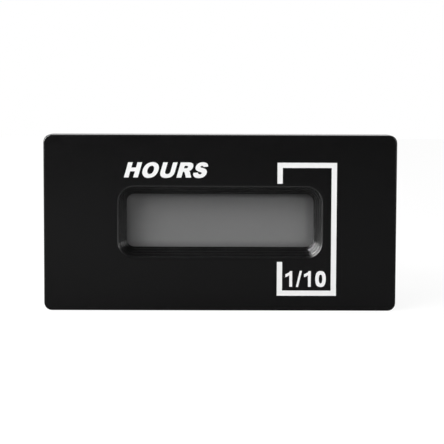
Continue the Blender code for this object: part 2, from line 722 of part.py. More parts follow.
def chips(surface):
    """The counter chip, with pins on four sides, and the memory chip, with pins on two."""
    quarter = math.pi / 2
    reach = CHIP_SIDE / 2 + PIN_REACH
    rows = [(quarter * side, CHIP_PINS, CHIP_PITCH, reach) for side in range(4)]
    chip("counter_chip", surface, CHIP_SIDE, CHIP_SIDE, CHIP_PLACE, rows)
    reach = MEMORY_W / 2 + PIN_REACH
    rows = [(quarter * side, 4, MEMORY_PITCH, reach) for side in (1, 3)]
    chip("memory_chip", surface, MEMORY_L, MEMORY_W, MEMORY_PLACE, rows)


def timing_crystal(surface):
    """A drawn metal can that lies on the display board, with two short wires."""
    bm = bmesh.new()
    base = 0.35 * CRYSTAL_R
    profile = [
        (0.0, 0.0),
        (CRYSTAL_R, 0.0),
        (CRYSTAL_R, base),
        (0.92 * CRYSTAL_R, base),
        (0.92 * CRYSTAL_R, CRYSTAL_L - base),
        (0.92 * CRYSTAL_R - base, CRYSTAL_L),
        (0.0, CRYSTAL_L),
    ]
    turned(bm, profile)
    bmesh.ops.rotate(bm, cent=(0, 0, 0), matrix=Matrix.Rotation(-math.pi / 2, 3, "Z"), verts=bm.verts)
    bmesh.ops.translate(bm, vec=(-CRYSTAL_L / 2, 0, 0), verts=bm.verts)
    depth = DISPLAY_BOARD_REAR + SEAT_GAP + CRYSTAL_R
    made = placed("timing_crystal", bm, surface, depth=depth, across=CRYSTAL_PLACE[0], up=FACE_Z + CRYSTAL_PLACE[1])
    bm = bmesh.new()
    wire = 0.5 * PIN_W
    for sign in (-1, 1):
        up = sign * 0.4 * CRYSTAL_R
        end = -CRYSTAL_L / 2 - CRYSTAL_R
        points = [
            (-CRYSTAL_L / 2 + base, -wire),
            (end, -wire),
            (end, -CRYSTAL_R),
            (end - PIN_W, -CRYSTAL_R),
            (end - PIN_W, wire),
            (-CRYSTAL_L / 2 + base, wire),
        ]
        prism(bm, points, "Z", up - wire, up + wire)
    tool(made, "crystal_wires", bm, "UNION")


def link_header(surface):
    """A strip of square pins in a moulded bar, from the display board to the power board."""
    bm = bmesh.new()
    length = HEADER_PITCH * HEADER_PINS
    corner = 0.2 * HEADER_BODY
    loft(bm, [(length, HEADER_BODY, corner, 0.0), (length, HEADER_BODY, corner, HEADER_BODY)])
    front = DISPLAY_BOARD_REAR + SEAT_GAP
    made = placed("link_header", bm, surface, depth=front, across=HEADER_PLACE[0], up=FACE_Z + HEADER_PLACE[1])
    bm = bmesh.new()
    start = DISPLAY_BOARD_FRONT + 0.5 * DISPLAY_BOARD_T - front
    end = POWER_BOARD_REAR + LEAD_TAIL - front
    for across in header_pins():
        centre = (across - HEADER_PLACE[0], (start + end) / 2, 0.0)
        block(bm, (HEADER_PIN, end - start, HEADER_PIN), centre)
    tool(made, "header_pins", bm, "UNION")


def wires(bm, pitch, start, end):
    """Two straight wires that run back through the power board."""
    for sign in (-1, 1):
        across = sign * pitch / 2
        rod(bm, LEAD_R, (across, start, 0.0), (across, end, 0.0))


def smoothing_capacitor(surface):
    """An electrolytic can, crimped at its foot, with a scored top."""
    bm = bmesh.new()
    groove = 0.12 * CAN_R
    rim = 0.25 * CAN_R
    profile = [
        (0.0, -CAN_L),
        (CAN_R - rim, -CAN_L),
        (CAN_R, -CAN_L + rim),
        (CAN_R, -2.2 * rim),
        (CAN_R - groove, -1.7 * rim),
        (CAN_R, -1.2 * rim),
        (CAN_R, -0.3 * rim),
        (CAN_R - rim, 0.0),
        (0.0, 0.0),
    ]
    turned(bm, profile)
    across, up = CAN_PLACE
    depth = POWER_BOARD_FRONT - SEAT_GAP
    made = placed("smoothing_capacitor", bm, surface, depth=depth, across=across, up=FACE_Z + up)
    bm = bmesh.new()
    wires(bm, CAN_LEAD_PITCH, -ROOT, POWER_BOARD_T + LEAD_TAIL)
    tool(made, "capacitor_wires", bm, "UNION")
    bm = bmesh.new()
    score = 0.08 * CAN_R
    for size in ((1.3 * CAN_R, 2 * score, score), (score, 2 * score, 1.3 * CAN_R)):
        block(bm, size, (0.0, -CAN_L, 0.0))
    tool(made, "capacitor_vent", bm, "DIFFERENCE")
    made.modifiers["capacitor_vent"].use_self = True


def dropper_capacitor(surface):
    """A moulded film capacitor with softened edges."""
    width, height, thickness = FILM_BOX
    bm = bmesh.new()
    corner = 0.1 * thickness
    outer = (width, thickness, corner)
    top = (width - 2 * corner, thickness - 2 * corner, 0.3 * corner)
    loft(bm, [(*top, -height), (*outer, corner - height), (*outer, 0.0)])
    depth = POWER_BOARD_FRONT - SEAT_GAP
    made = placed("dropper_capacitor", bm, surface, depth=depth, across=FILM_PLACE[0], up=FACE_Z + FILM_PLACE[1])
    bm = bmesh.new()
    wires(bm, FILM_LEAD_PITCH, -ROOT, POWER_BOARD_T + LEAD_TAIL)
    tool(made, "film_wires", bm, "UNION")


def surge_varistor(surface):
    """A coated disc that stands on its two wires."""
    bm = bmesh.new()
    edge = 0.35 * DISC_T
    half = DISC_T / 2
    profile = [
        (0.0, -half),
        (DISC_R - edge, -half),
        (DISC_R, edge - half),
        (DISC_R, half - edge),
        (DISC_R - edge, half),
        (0.0, half),
    ]
    turned(bm, profile)
    bmesh.ops.rotate(bm, cent=(0, 0, 0), matrix=Matrix.Rotation(math.pi / 2, 3, "X"), verts=bm.verts)
    bmesh.ops.translate(bm, vec=(0, -DISC_R, 0), verts=bm.verts)
    depth = POWER_BOARD_FRONT - SEAT_GAP
    made = placed("surge_varistor", bm, surface, depth=depth, across=DISC_PLACE[0], up=FACE_Z + DISC_PLACE[1])
    bm = bmesh.new()
    wires(bm, DISC_LEAD_PITCH, -DISC_R, POWER_BOARD_T + LEAD_TAIL)
    tool(made, "varistor_wires", bm, "UNION")


def bridge_rectifier(surface):
    """A moulded rectifier with one long chamfer and four pins."""
    width, height, thickness = BRIDGE_BOX
    bm = bmesh.new()
    cut = 0.25 * height
    side = width / 2
    points = [(-side, 0.0), (-side, cut - height), (cut - side, -height), (side, -height), (side, 0.0)]
    prism(bm, points, "Z", -thickness / 2, thickness / 2)
    depth = POWER_BOARD_FRONT - SEAT_GAP
    made = placed("bridge_rectifier", bm, surface, depth=depth, across=BRIDGE_PLACE[0], up=FACE_Z + BRIDGE_PLACE[1])
    bm = bmesh.new()
    half = BRIDGE_LEAD_PITCH / 2
    for i in (-1, 1):
        for j in (-1, 1):
            rod(bm, LEAD_R, (i * half, -ROOT, j * half), (i * half, POWER_BOARD_T + LEAD_TAIL, j * half))
    tool(made, "rectifier_pins", bm, "UNION")


def dropper_resistors(surface):
    """Two film resistors that lie along the power board, their wires bent down through it."""
    for number, row in enumerate(resistor_rows(), start=1):
        name = f"dropper_resistor_{number}"
        bm = bmesh.new()
        half = RESISTOR_L / 2
        cap = 0.22 * RESISTOR_L
        waist = 0.84 * RESISTOR_R
        profile = [
            (0.0, -half),
            (0.6 * RESISTOR_R, -half),
            (RESISTOR_R, -half + 0.3 * cap),
            (RESISTOR_R, -half + cap),
            (waist, -half + 1.3 * cap),
            (waist, half - 1.3 * cap),
            (RESISTOR_R, half - cap),
            (RESISTOR_R, half - 0.3 * cap),
            (0.6 * RESISTOR_R, half),
            (0.0, half),
        ]
        turned(bm, profile, sides=WIRE_SIDES * 2)
        bmesh.ops.rotate(bm, cent=(0, 0, 0), matrix=Matrix.Rotation(math.pi / 2, 3, "Z"), verts=bm.verts)
        depth = POWER_BOARD_FRONT - SEAT_GAP - RESISTOR_R
        made = placed(name, bm, surface, depth=depth, across=RESISTOR_PLACE[0], up=FACE_Z + row)
        bm = bmesh.new()
        out = RESISTOR_LEAD_PITCH / 2
        back = RESISTOR_R + POWER_BOARD_T + LEAD_TAIL
        for sign in (-1, 1):
            points = [
                (sign * (half - ROOT), -LEAD_R),
                (sign * (out + LEAD_R), -LEAD_R),
                (sign * (out + LEAD_R), back),
                (sign * (out - LEAD_R), back),
                (sign * (out - LEAD_R), LEAD_R),
                (sign * (half - ROOT), LEAD_R),
            ]
            prism(bm, points, "Z", -LEAD_R, LEAD_R)
        tool(made, name + "_wires", bm, "UNION")


def power_board_screws(surface):
    """Two screws that hold the power board on its posts, driven from the front of the board."""
    for number, sign in enumerate((-1, 1), start=1):
        across, up = sign * POST_PLACE[0], FACE_Z - sign * POST_PLACE[1]
        depth = POWER_BOARD_FRONT - SEAT_GAP
        length = POWER_BOARD_T + POST_LENGTH - SCREW_R
        screw(f"power_board_screw_{number}", surface, across, up, depth, length, turn=math.pi)


def ratchet_profile(sign):
    """The saw-tooth outline on one end of the case, as (across, depth) points."""
    root = sign * (CASE_W / 2 - ROOT)
    skin = sign * CASE_W / 2
    crest = sign * (CASE_W / 2 + TOOTH_RISE)
    last = TOOTH_FIRST + TOOTH_COUNT * TOOTH_PITCH
    points = [(root, last), (root, TOOTH_FIRST)]
    for i in range(TOOTH_COUNT):
        start = TOOTH_FIRST + i * TOOTH_PITCH
        if i == 0:
            points.append((skin + sign * 0.1 * TOOTH_RISE, start))
        points.append((crest, start + 0.15 * TOOTH_PITCH))
        points.append((crest, start + 0.35 * TOOTH_PITCH))
        points.append((skin + sign * 0.1 * TOOTH_RISE, start + TOOTH_PITCH))
    return points


def rear_case(surface):
    """The deep moulded case: open front rim with snaps, ratchet teeth, ribs, posts and terminal slots."""
    bm = bmesh.new()
    outer = (CASE_W, CASE_H, CASE_CORNER_R)
    inner = (CAVITY_W, CAVITY_H, CASE_CORNER_R / 2)
    cut = CASE_REAR_CHAMFER
    back = (CASE_W - 2 * cut, CASE_H - 2 * cut, CASE_CORNER_R - cut / 2)
    lead_in = (CASE_W - 2 * ROOT, CASE_H - 2 * ROOT, CASE_CORNER_R)
    loft(
        bm,
        [
            (*inner, CASE_LENGTH - CASE_WALL),
            (*inner, 0.0),
            (*lead_in, 0.0),
            (*outer, ROOT),
            (*outer, CASE_LENGTH - cut),
            (*back, CASE_LENGTH),
        ],
    )
    case = placed("rear_case", bm, surface, depth=CASE_FRONT)

    bm = bmesh.new()
    for sign in (-1, 1):
        points = [(across, depth - CASE_FRONT) for across, depth in ratchet_profile(sign)]
        prism(bm, points, "Z", -TOOTH_WIDTH / 2, TOOTH_WIDTH / 2)
    tool(case, "case_teeth", bm, "UNION")

    bm = bmesh.new()
    for across, up, long_side in snap_places():
        half = SNAP_LENGTH / 2
        base = -ROOT
        front = snap_depth() - SNAP_DEPTH / 2 - CASE_FRONT
        ridge = [(front, base), (front, 0.0), (front + 0.7 * SNAP_DEPTH, SNAP_RISE)]
        ridge += [(front + SNAP_DEPTH, SNAP_RISE), (front + SNAP_DEPTH, base)]
        if long_side:
            sign = 1 if up > 0 else -1
            points = [(depth, up + sign * rise) for depth, rise in ridge]
            prism(bm, points, "X", across - half, across + half)
        else:
            sign = 1 if across > 0 else -1
            points = [(across + sign * rise, depth) for depth, rise in ridge]
            prism(bm, points, "Z", -half, half)
    tool(case, "case_snaps", bm, "UNION")

    bm = bmesh.new()
    rib_front = DISPLAY_BOARD_REAR + SEAT_GAP - CASE_FRONT
    rib_rear = CASE_LENGTH - CASE_WALL + ROOT
    for across, up, long_side in rib_places():
        reach = RIB_REACH + ROOT
        if long_side:
            sign = 1 if up > 0 else -1
            centre = (across, (rib_front + rib_rear) / 2, up - sign * (reach / 2 - ROOT))
            block(bm, (RIB_W, rib_rear - rib_front, reach), centre)
        else:
            sign = 1 if across > 0 else -1
            centre = (across - sign * (reach / 2 - ROOT), (rib_front + rib_rear) / 2, up)
            block(bm, (reach, rib_rear - rib_front, RIB_W), centre)
    post_front = POWER_BOARD_REAR + SEAT_GAP - CASE_FRONT
    for i in (-1, 1):
        for j in (-1, 1):
            size = (POST_SIZE + ROOT, rib_rear - post_front, POST_SIZE + ROOT)
            centre = (i * (POST_PLACE[0] + ROOT / 2), (post_front + rib_rear) / 2, j * (POST_PLACE[1] + ROOT / 2))
            block(bm, size, centre)
    for sign in (-1, 1):
        collar = (TAB_T + 2 * HOLE_GAP + 2 * COLLAR_WALL, TAB_W + 2 * HOLE_GAP + 2 * COLLAR_WALL, COLLAR_WALL)
        top = (collar[0] - ROOT, collar[1] - ROOT, COLLAR_WALL / 2)
        end = CASE_LENGTH + COLLAR_RISE
        stations = [(*collar, CASE_LENGTH - ROOT), (*collar, end - ROOT), (*top, end)]
        loft(bm, stations, centre=(sign * TAB_SPREAD, 0.0))
    tool(case, "case_ribs", bm, "UNION")

    bm = bmesh.new()
    for sign in (-1, 1):
        size = (TAB_T + 2 * HOLE_GAP, CASE_WALL + COLLAR_RISE + 4 * ROOT, TAB_W + 2 * HOLE_GAP)
        centre = (sign * TAB_SPREAD, CASE_LENGTH + (COLLAR_RISE - CASE_WALL) / 2, 0.0)
        block(bm, size, centre)
        across, up = sign * POST_PLACE[0], -sign * POST_PLACE[1]
        start = (across, post_front - ROOT, up)
        rod(bm, SCREW_R + HOLE_GAP / 2, start, (across, post_front + POST_LENGTH - ROOT, up))
    tool(case, "case_holes", bm, "DIFFERENCE")


def terminals(surface):
    """Two quick-connect tabs with tapered tips and a locking hole, their tangs through the power board."""
    for name, sign in (("terminal_left", -1), ("terminal_right", 1)):
        half, shoulder, tang = TAB_W / 2, TAB_W / 2 + TAB_SHOULDER, TAB_TANG_W / 2
        tip = TAB_TIP_CUT
        seat = REAR_WALL_FRONT - SEAT_GAP
        tang_end = POWER_BOARD_FRONT - LEAD_TAIL
        edge = [
            (tang_end, tang),
            (seat - TAB_SHOULDER, tang),
            (seat - TAB_SHOULDER, shoulder),
            (seat, shoulder),
            (seat, half),
            (TOTAL_DEPTH - TAB_TIP, half),
            (TOTAL_DEPTH, half - tip),
        ]
        points = edge + [(depth, -up) for depth, up in reversed(edge)]
        bm = bmesh.new()
        prism(bm, points, "X", -TAB_T / 2, TAB_T / 2)
        made = placed(name, bm, surface, across=sign * TAB_SPREAD)
        bm = bmesh.new()
        place = TOTAL_DEPTH - TAB_HOLE_PLACE
        rod(bm, TAB_HOLE_R, (-TAB_T, place, 0.0), (TAB_T, place, 0.0), sides=ROUND_SIDES)
        tool(made, name + "_hole", bm, "DIFFERENCE")
        soft = made.modifiers.new("edges", "BEVEL")
        soft.width = 0.1 * TAB_T
        soft.segments = 1
        soft.limit_method = "ANGLE"


def panel_gasket(surface):
    """A thin rubber ring between the flange and the panel."""
    outer = (BEZEL_W - 2 * GASKET_INSET, BEZEL_H - 2 * GASKET_INSET, BEZEL_CORNER_R)
    inner = (CASE_W + 2 * SLIP_GAP + 2 * TOOTH_RISE, CASE_H + 2 * SLIP_GAP, CASE_CORNER_R)
    bm = bmesh.new()
    loft(bm, [(*outer, 0.0), (*inner, 0.0), (*inner, GASKET_T), (*outer, GASKET_T)], ring=True)
    placed("panel_gasket", bm, surface, depth=GASKET_FRONT)


def mounting_clip(surface):
    """The frame that slides along the case, with sprung tongues whose pawls run over the teeth."""
    slide = bpy.data.objects.new("clip_slide", None)
    slide.location = (0.0, FRONT_Y + CLIP_FRONT, FACE_Z)
    bpy.context.collection.objects.link(slide)

    bm = bmesh.new()
    outer = (CLIP_W, CLIP_H, BEZEL_CORNER_R)
    inner = (CLIP_INNER_W, CLIP_INNER_H, CASE_CORNER_R / 2)
    start, end = FOOT_RISE, FOOT_RISE + CLIP_LENGTH
    loft(bm, [(*outer, start), (*inner, start), (*inner, end), (*outer, end)], ring=True)
    clip = placed("mounting_clip", bm, surface)
    clip.parent = slide
    clip.location = (0.0, 0.0, 0.0)

    bm = bmesh.new()
    for i in (-1, 1):
        inside, outside = i * CLIP_INNER_W / 2, i * CLIP_W / 2
        for j in (-1, 1):
            low, high = sorted((j * (CLIP_H / 2 - BEZEL_CORNER_R), j * (CLIP_H / 2 - BEZEL_CORNER_R - FOOT_LENGTH)))
            middle = (low + high) / 2
            foot = [(start + ROOT, low), (start, low), (0.0, middle - 0.15 * FOOT_LENGTH)]
            foot += [(0.0, middle + 0.15 * FOOT_LENGTH), (start, high), (start + ROOT, high)]
            near, far = sorted((inside + i * CLIP_INSET, outside - i * CLIP_INSET))
            prism(bm, foot, "X", near, far)
        rear = end + TONGUE_LENGTH
        pawl = inside - i * CLIP_PAWL_RISE
        lip = outside + i * THUMB_RISE
        tongue = [
            (inside + i * CLIP_INSET, end - ROOT),
            (inside + i * CLIP_INSET, rear - 2 * PAWL_LENGTH),
            (pawl, rear - PAWL_LENGTH),
            (pawl, rear - 0.75 * PAWL_LENGTH),
            (inside, rear - 0.5 * PAWL_LENGTH),
            (inside, rear),
            (lip, rear),
            (lip, rear - 0.5 * PAWL_LENGTH),
            (outside - i * CLIP_INSET, rear - 2 * PAWL_LENGTH),
            (outside - i * CLIP_INSET, end - ROOT),
        ]
        prism(bm, tongue, "Z", -TONGUE_W / 2, TONGUE_W / 2)
    tool(clip, "clip_feet_and_tongues", bm, "UNION")

    bm = bmesh.new()
    for i in (-1, 1):
        for j in (-1, 1):
            slot = CLIP_SIDE_WALL
            size = (4 * CLIP_SIDE_WALL, CLIP_LENGTH, slot)
            centre = (i * (CLIP_W / 2), end - 0.2 * CLIP_LENGTH, j * (TONGUE_W / 2 + slot / 2))
            block(bm, size, centre)
    tool(clip, "clip_tongue_slots", bm, "DIFFERENCE")


def main():
    clear_scene()
    black = material("black_moulding", (0.012, 0.012, 0.013), 0.42)
    inner = material("grey_moulding", (0.08, 0.08, 0.085), 0.5)
    rubber = material("black_rubber", (0.02, 0.02, 0.02), 0.85)
    clear = material("clear_plastic", (0.9, 0.92, 0.92), 0.06, transmission=1.0)
    glass = material("display_glass", (0.85, 0.9, 0.88), 0.03, transmission=1.0)
    film = material("polariser_film", (0.16, 0.17, 0.16), 0.25)
    mirror = material("reflector_film", (0.5, 0.52, 0.5), 0.3, metallic=0.6)
    green = material("green_board", (0.02, 0.13, 0.06), 0.4)
    chip_black = material("chip_moulding", (0.02, 0.02, 0.022), 0.55)
    steel = material("bright_steel", (0.62, 0.62, 0.63), 0.28, metallic=1.0)
    tin = material("tinned_brass", (0.72, 0.68, 0.58), 0.3, metallic=1.0)
    sleeve = material("capacitor_sleeve", (0.03, 0.05, 0.12), 0.35)
    box = material("film_box", (0.45, 0.36, 0.05), 0.4)
    disc = material("varistor_coat", (0.03, 0.1, 0.3), 0.45)
    body = material("resistor_coat", (0.5, 0.38, 0.22), 0.45)

    front_bezel(black)
    lens_stack(clear, glass, film, mirror, rubber)
    display_holder(inner)
    contact_strips(rubber)
    display_board(green)
    chips(chip_black)
    timing_crystal(steel)
    link_header(chip_black)
    holder_screws(steel)
    power_board(green)
    smoothing_capacitor(sleeve)
    dropper_capacitor(box)
    surge_varistor(disc)
    bridge_rectifier(chip_black)
    dropper_resistors(body)
    power_board_screws(steel)
    rear_case(black)
    terminals(tin)
    panel_gasket(rubber)
    mounting_clip(inner)


main()
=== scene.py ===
import json
import math

import bmesh
import bpy
from bpy.props import FloatProperty, FloatVectorProperty, PointerProperty
from bpy.types import Operator, Panel, PropertyGroup
from mathutils import Matrix, Vector

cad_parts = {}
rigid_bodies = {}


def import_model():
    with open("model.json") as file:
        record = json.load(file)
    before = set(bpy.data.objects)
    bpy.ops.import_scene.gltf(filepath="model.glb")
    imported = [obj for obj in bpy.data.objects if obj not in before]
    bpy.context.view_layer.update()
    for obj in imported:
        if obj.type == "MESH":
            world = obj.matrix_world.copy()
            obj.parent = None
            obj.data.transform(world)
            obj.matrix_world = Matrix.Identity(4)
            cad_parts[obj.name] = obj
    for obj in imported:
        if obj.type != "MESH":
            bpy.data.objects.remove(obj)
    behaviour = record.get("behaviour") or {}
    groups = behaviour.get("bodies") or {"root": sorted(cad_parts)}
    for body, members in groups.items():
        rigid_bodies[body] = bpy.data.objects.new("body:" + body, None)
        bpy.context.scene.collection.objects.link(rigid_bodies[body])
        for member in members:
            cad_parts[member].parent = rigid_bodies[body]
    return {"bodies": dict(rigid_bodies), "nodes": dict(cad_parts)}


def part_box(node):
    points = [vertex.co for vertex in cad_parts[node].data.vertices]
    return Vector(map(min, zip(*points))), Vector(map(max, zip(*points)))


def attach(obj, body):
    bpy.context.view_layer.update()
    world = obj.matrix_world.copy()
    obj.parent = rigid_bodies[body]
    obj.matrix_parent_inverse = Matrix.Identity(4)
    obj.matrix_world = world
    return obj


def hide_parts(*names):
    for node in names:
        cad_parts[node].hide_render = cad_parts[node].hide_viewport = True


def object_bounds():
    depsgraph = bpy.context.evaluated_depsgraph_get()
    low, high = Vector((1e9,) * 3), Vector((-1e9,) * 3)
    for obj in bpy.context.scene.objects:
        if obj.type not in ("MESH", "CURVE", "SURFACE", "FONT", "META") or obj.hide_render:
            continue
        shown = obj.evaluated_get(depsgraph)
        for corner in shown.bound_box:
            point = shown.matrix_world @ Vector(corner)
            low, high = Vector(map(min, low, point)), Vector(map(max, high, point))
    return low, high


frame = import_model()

bl_info = {
    "name": "Hour meter dresser",
    "version": (1, 0, 0),
    "blender": (4, 5, 0),
    "location": "3D View > Sidebar > Hour meter",
    "description": "Finishes a panel-mount hour meter: mouldings, window, print, boards, clip and studio",
    "category": "Object",
}

MM = 0.001
CAD_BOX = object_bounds()
FACE_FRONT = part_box("front_bezel")[0].y
FACE_CENTRE = (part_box("front_bezel")[0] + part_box("front_bezel")[1]) / 2
FACE_MIDDLE = Vector((0.0, FACE_FRONT, FACE_CENTRE.z))
METER, CLIP = "meter", "clip"

SHARP = math.radians(38)  # a fold of the surface beyond this is an edge
FLAT = math.radians(0.4)  # a fold within this is taken as flat
INK_SUNK = 0.1  # share of the ink's thickness that lies in the face
TINNED = (0.28, 1.0)  # roughness of the tinned pins and wires, and how far they are metal

# The lip of the recess, from the box of the lens inwards in millimetres, and the radius of its corners
LIP_INSET = (0.33, 0, 0.14)
LIP_RADIUS = 2.2 * MM
FACE_POLISH = 0.45

# The outline of the painted shade along the border of the film, from the box of the lens inwards in
# millimetres
FILM_SHADE_LOW, FILM_SHADE_HIGH = (1.1, 0, 1.35), (1.75, 0, 1.35)
FILM_SHADE_RADIUS = 1.1 * MM

HEADER_BAR = 2.46 * MM  # how far the moulded bar of the header stands off its board
STRIPE_WIDTH = 1.0 * MM  # the pale stripe on the sleeve of the smoothing capacitor
CAN_TOP = 0.5 * MM  # the bare end of its can
BAND_WIDTH = 0.55 * MM
# The value bands of a resistor, each with how far it lies from the end of the lacquer
BANDS = (
    ((0.08, 0.03, 0.01), 0.8 * MM),
    ((0.35, 0.03, 0.02), 2.0 * MM),
    ((0.01, 0.01, 0.01), 3.2 * MM),
    ((0.45, 0.3, 0.05), 4.6 * MM),
)

FLOOR_HALF = 0.6
FLOOR_GAP = 0.01 * MM
PAPER_GLOW = 0.9  # how white the floor looks to the camera before any lamp shines on it
AIR_DARK = 0.05  # strength of the air where it is darkest
# The paler sides of the air, each as an axis, two strengths, and where the one begins to change into the
# other and where it ends
AIR_SIDES = (
    (0, 1.6, AIR_DARK, -0.85, -0.5),
    (0, AIR_DARK, 0.5, 0.5, 1.0),
    (2, AIR_DARK, 0.12, 0.25, 0.95),
    (1, AIR_DARK, 1.0, -0.15, 0.35),
)
LAMP_REACH = 0.5
# The lamps, each as the way to it, its two sides, its power, and the way its first side lies
LAMPS = {
    "key_softbox": ((-0.486, -0.695, 0.53), (0.3, 0.3), 0.95, (1.0, 0.0, 0.0)),
    "key_panel": ((-0.6, -0.655, 0.46), (0.5, 0.3), 1.9, (0.66, 0.0, 0.75)),
    "right_fill": ((0.61, -0.78, 0.14), (0.2, 0.2), 0.5, (1.0, 0.0, 0.0)),
    "key_glint": ((-0.622, -0.62, 0.478), (0.45, 0.06), 4.2, (0.66, 0.0, 0.75)),
}
CAMERA_PITCH, CAMERA_YAW, CAMERA_ROLL = (math.radians(angle) for angle in (5.2, -0.5, 0.208))
CAMERA_REACH = 216.0 * MM
CAMERA_LENS = 128.76
CAMERA_SENSOR = 36.0
CAMERA_AIM = Vector((0.247 * MM, 0.0, 0.166 * MM))  # from the middle of the face

# Letters and figures as closed paths, a thousand units high, upright, from the left end of the base line
GLYPHS = {
    "H": [
        "M 0 0 L 304 0 L 304 403 L 610 403 L 610 0 L 922 0 L 922 1000"
        " L 610 1000 L 610 655 L 304 655 L 304 1000 L 0 1000 Z"
    ],
    "O": [
        "M 518 -25 C 840 -25 1036 180 1036 492 C 1036 804 840 1010 518 1010"
        " C 196 1010 0 804 0 492 C 0 180 196 -25 518 -25 Z",
        "M 518 228 C 391 228 310 335 310 502 C 310 668 391 776 518 776"
        " C 645 776 726 668 726 502 C 726 335 645 228 518 228 Z",
    ],
    "U": [
        "M 0 1000 L 0 396 C 0 112 160 -25 474 -25 C 788 -25 947 112 947 396 L 947 1000"
        " L 650 1000 L 650 400 C 650 288 585 228 474 228 C 362 228 298 288 298 400 L 298 1000 Z"
    ],
    "R": [
        "M 0 0 L 318 0 L 318 390 L 340 390 C 402 390 438 352 468 296 L 622 0 L 975 0"
        " L 810 318 C 782 372 750 412 706 438 C 832 480 898 562 898 706"
        " C 898 894 785 1000 540 1000 L 0 1000 Z",
        "M 326 612 L 326 778 L 450 778 C 526 778 560 748 560 696 C 560 640 526 612 450 612 Z",
    ],
    "S": [
        "M 0 312 L 306 336 C 318 268 358 222 446 222 C 511 222 551 250 551 290"
        " C 551 326 520 348 414 374 C 154 442 44 540 44 712 C 44 890 198 1012 438 1012"
        " C 692 1012 831 905 848 724 L 548 706 C 536 750 501 776 438 776"
        " C 387 776 357 754 357 722 C 357 692 382 672 474 652 C 761 590 879 486 879 306"
        " C 879 106 717 -28 451 -28 C 164 -28 13 88 0 312 Z"
    ],
    "1": [
        "M 250 0 L 432 0 L 432 1000 L 296 1000 C 258 905 130 845 0 802 L 0 612 C 95 637 180 677 250 735 Z"
    ],
    "slash": ["M 0 -12 L 142 -12 L 380 1012 L 238 1012 Z"],
    "0": [
        "M 332 -10 C 572 -10 664 155 664 498 C 664 841 572 1006 332 1006"
        " C 92 1006 0 841 0 498 C 0 155 92 -10 332 -10 Z",
        "M 332 212 C 258 212 224 300 224 496 C 224 692 258 778 332 778"
        " C 406 778 440 692 440 496 C 440 300 406 212 332 212 Z",
    ],
}
# Each letter with how far its foot stands from the middle of the face, in millimetres
WORD = [("H", -13.08), ("O", -10.81), ("U", -8.334), ("R", -5.957), ("S", -3.846)]
FIGURES = [("1", 8.92), ("slash", 10.36), ("1", 11.465), ("0", 13.005)]
# The bracket round the last place, from the middle of the face, in millimetres
BRACKET = (
    "M 7.75 5.4 L 7.75 8.26 L 15.84 8.26 L 15.84 -9.92 L 7.75 -9.92 L 7.75 -5.28"
    " L 8.47 -5.28 L 8.47 -9.21 L 15.11 -9.21 L 15.11 7.56 L 8.47 7.56 L 8.47 5.4 Z"
)


def colour(label, note, default):
    """A colour that a user would change."""
    return FloatVectorProperty(
        name=label, description=note, default=default, size=3, min=0.0, max=1.0, subtype="COLOR"
    )


def length(label, note, default, low=0.0):
    """A length that a user would change, in metres."""
    return FloatProperty(
        name=label,
        description=note,
        default=default,
        min=low,
        max=0.1,
        precision=6,
        unit="LENGTH",
        subtype="DISTANCE",
    )


class HourMeterSizes(PropertyGroup):
    """Sizes of the print and of the softened edges."""

    ink: length("Ink thickness", "How thick the printed ink is", 0.02 * MM)
    word_height: length("Word height", "Height of the capitals of the word", 2.06 * MM)
    word_base: length("Word base line", "How far the word stands above the middle of the face", 6.2 * MM)
    figure_height: length("Figure height", "Height of the printed figures", 2.165 * MM)
    figure_base: length(
        "Figure base line", "How far the figures stand from the middle of the face", -8.69 * MM, -0.1
    )
    word_slant: FloatProperty(
        name="Word slant",
        description="How far the word leans",
        default=math.radians(15.9),
        unit="ROTATION",
        subtype="ANGLE",
    )
    moulded_edge: length("Moulded edge", "Softening of the edges of moulded pieces", 0.03 * MM)
    stamped_edge: length("Stamped edge", "Softening of the edges of metal pieces", 0.02 * MM)


class HourMeterColours(PropertyGroup):
    """Colours of the finishes."""

    bezel: colour("Bezel", "Satin moulded front", (0.003, 0.003, 0.0031))
    # Painted highlight: a pale line along the lip of the recess, weaker along its lower side
    painted_lip_highlight: colour("Worn lip", "Lip of the recess, rubbed paler", (0.022, 0.022, 0.022))
    case: colour("Case", "Matt moulded case", (0.015, 0.015, 0.0155))
    clip: colour("Clip", "Moulded mounting clip", (0.019, 0.019, 0.0195))
    rubber: colour("Rubber", "Gasket and seal", (0.012, 0.012, 0.012))
    ink: colour("Ink", "Printed word, bracket and figures", (0.9, 0.9, 0.895))
    film: colour("Polariser", "Grey film of the blank display", (0.165, 0.165, 0.165))
    # Painted shade: the film darker towards the border of the window
    painted_film_shade: colour("Polariser border", "The film where the cell's seal lies under it", (0.11, 0.11, 0.11))
    holder: colour("Holder", "Moulded holder of the cell", (0.5, 0.5, 0.48))
    elastomer: colour("Contact strip", "Elastomer round the conducting core", (0.42, 0.11, 0.09))
    resist: colour("Board", "Green solder resist", (0.014, 0.105, 0.045))
    laminate: colour("Laminate", "Cut edge of a board", (0.42, 0.36, 0.2))
    epoxy: colour("Chip", "Moulded epoxy", (0.016, 0.016, 0.018))
    tin: colour("Tinned metal", "Tabs, pins and wires", (0.66, 0.64, 0.6))
    zinc: colour("Zinc plate", "Screws", (0.6, 0.6, 0.61))
    sleeve: colour("Capacitor sleeve", "Shrunk sleeve", (0.02, 0.035, 0.1))
    film_box: colour("Film capacitor", "Moulded box", (0.5, 0.36, 0.04))
    varistor: colour("Varistor", "Dipped coating", (0.025, 0.09, 0.28))
    resistor: colour("Resistor", "Lacquered body", (0.46, 0.34, 0.2))


def settings(context):
    """The sizes and the colours as the user has set them."""
    return context.scene.hour_meter_sizes, context.scene.hour_meter_colours


def opaque(base, factor=1.0):
    """A colour with full cover, made lighter or darker by a factor."""
    return (*(min(1.0, c * factor) for c in base[:3]), 1.0)


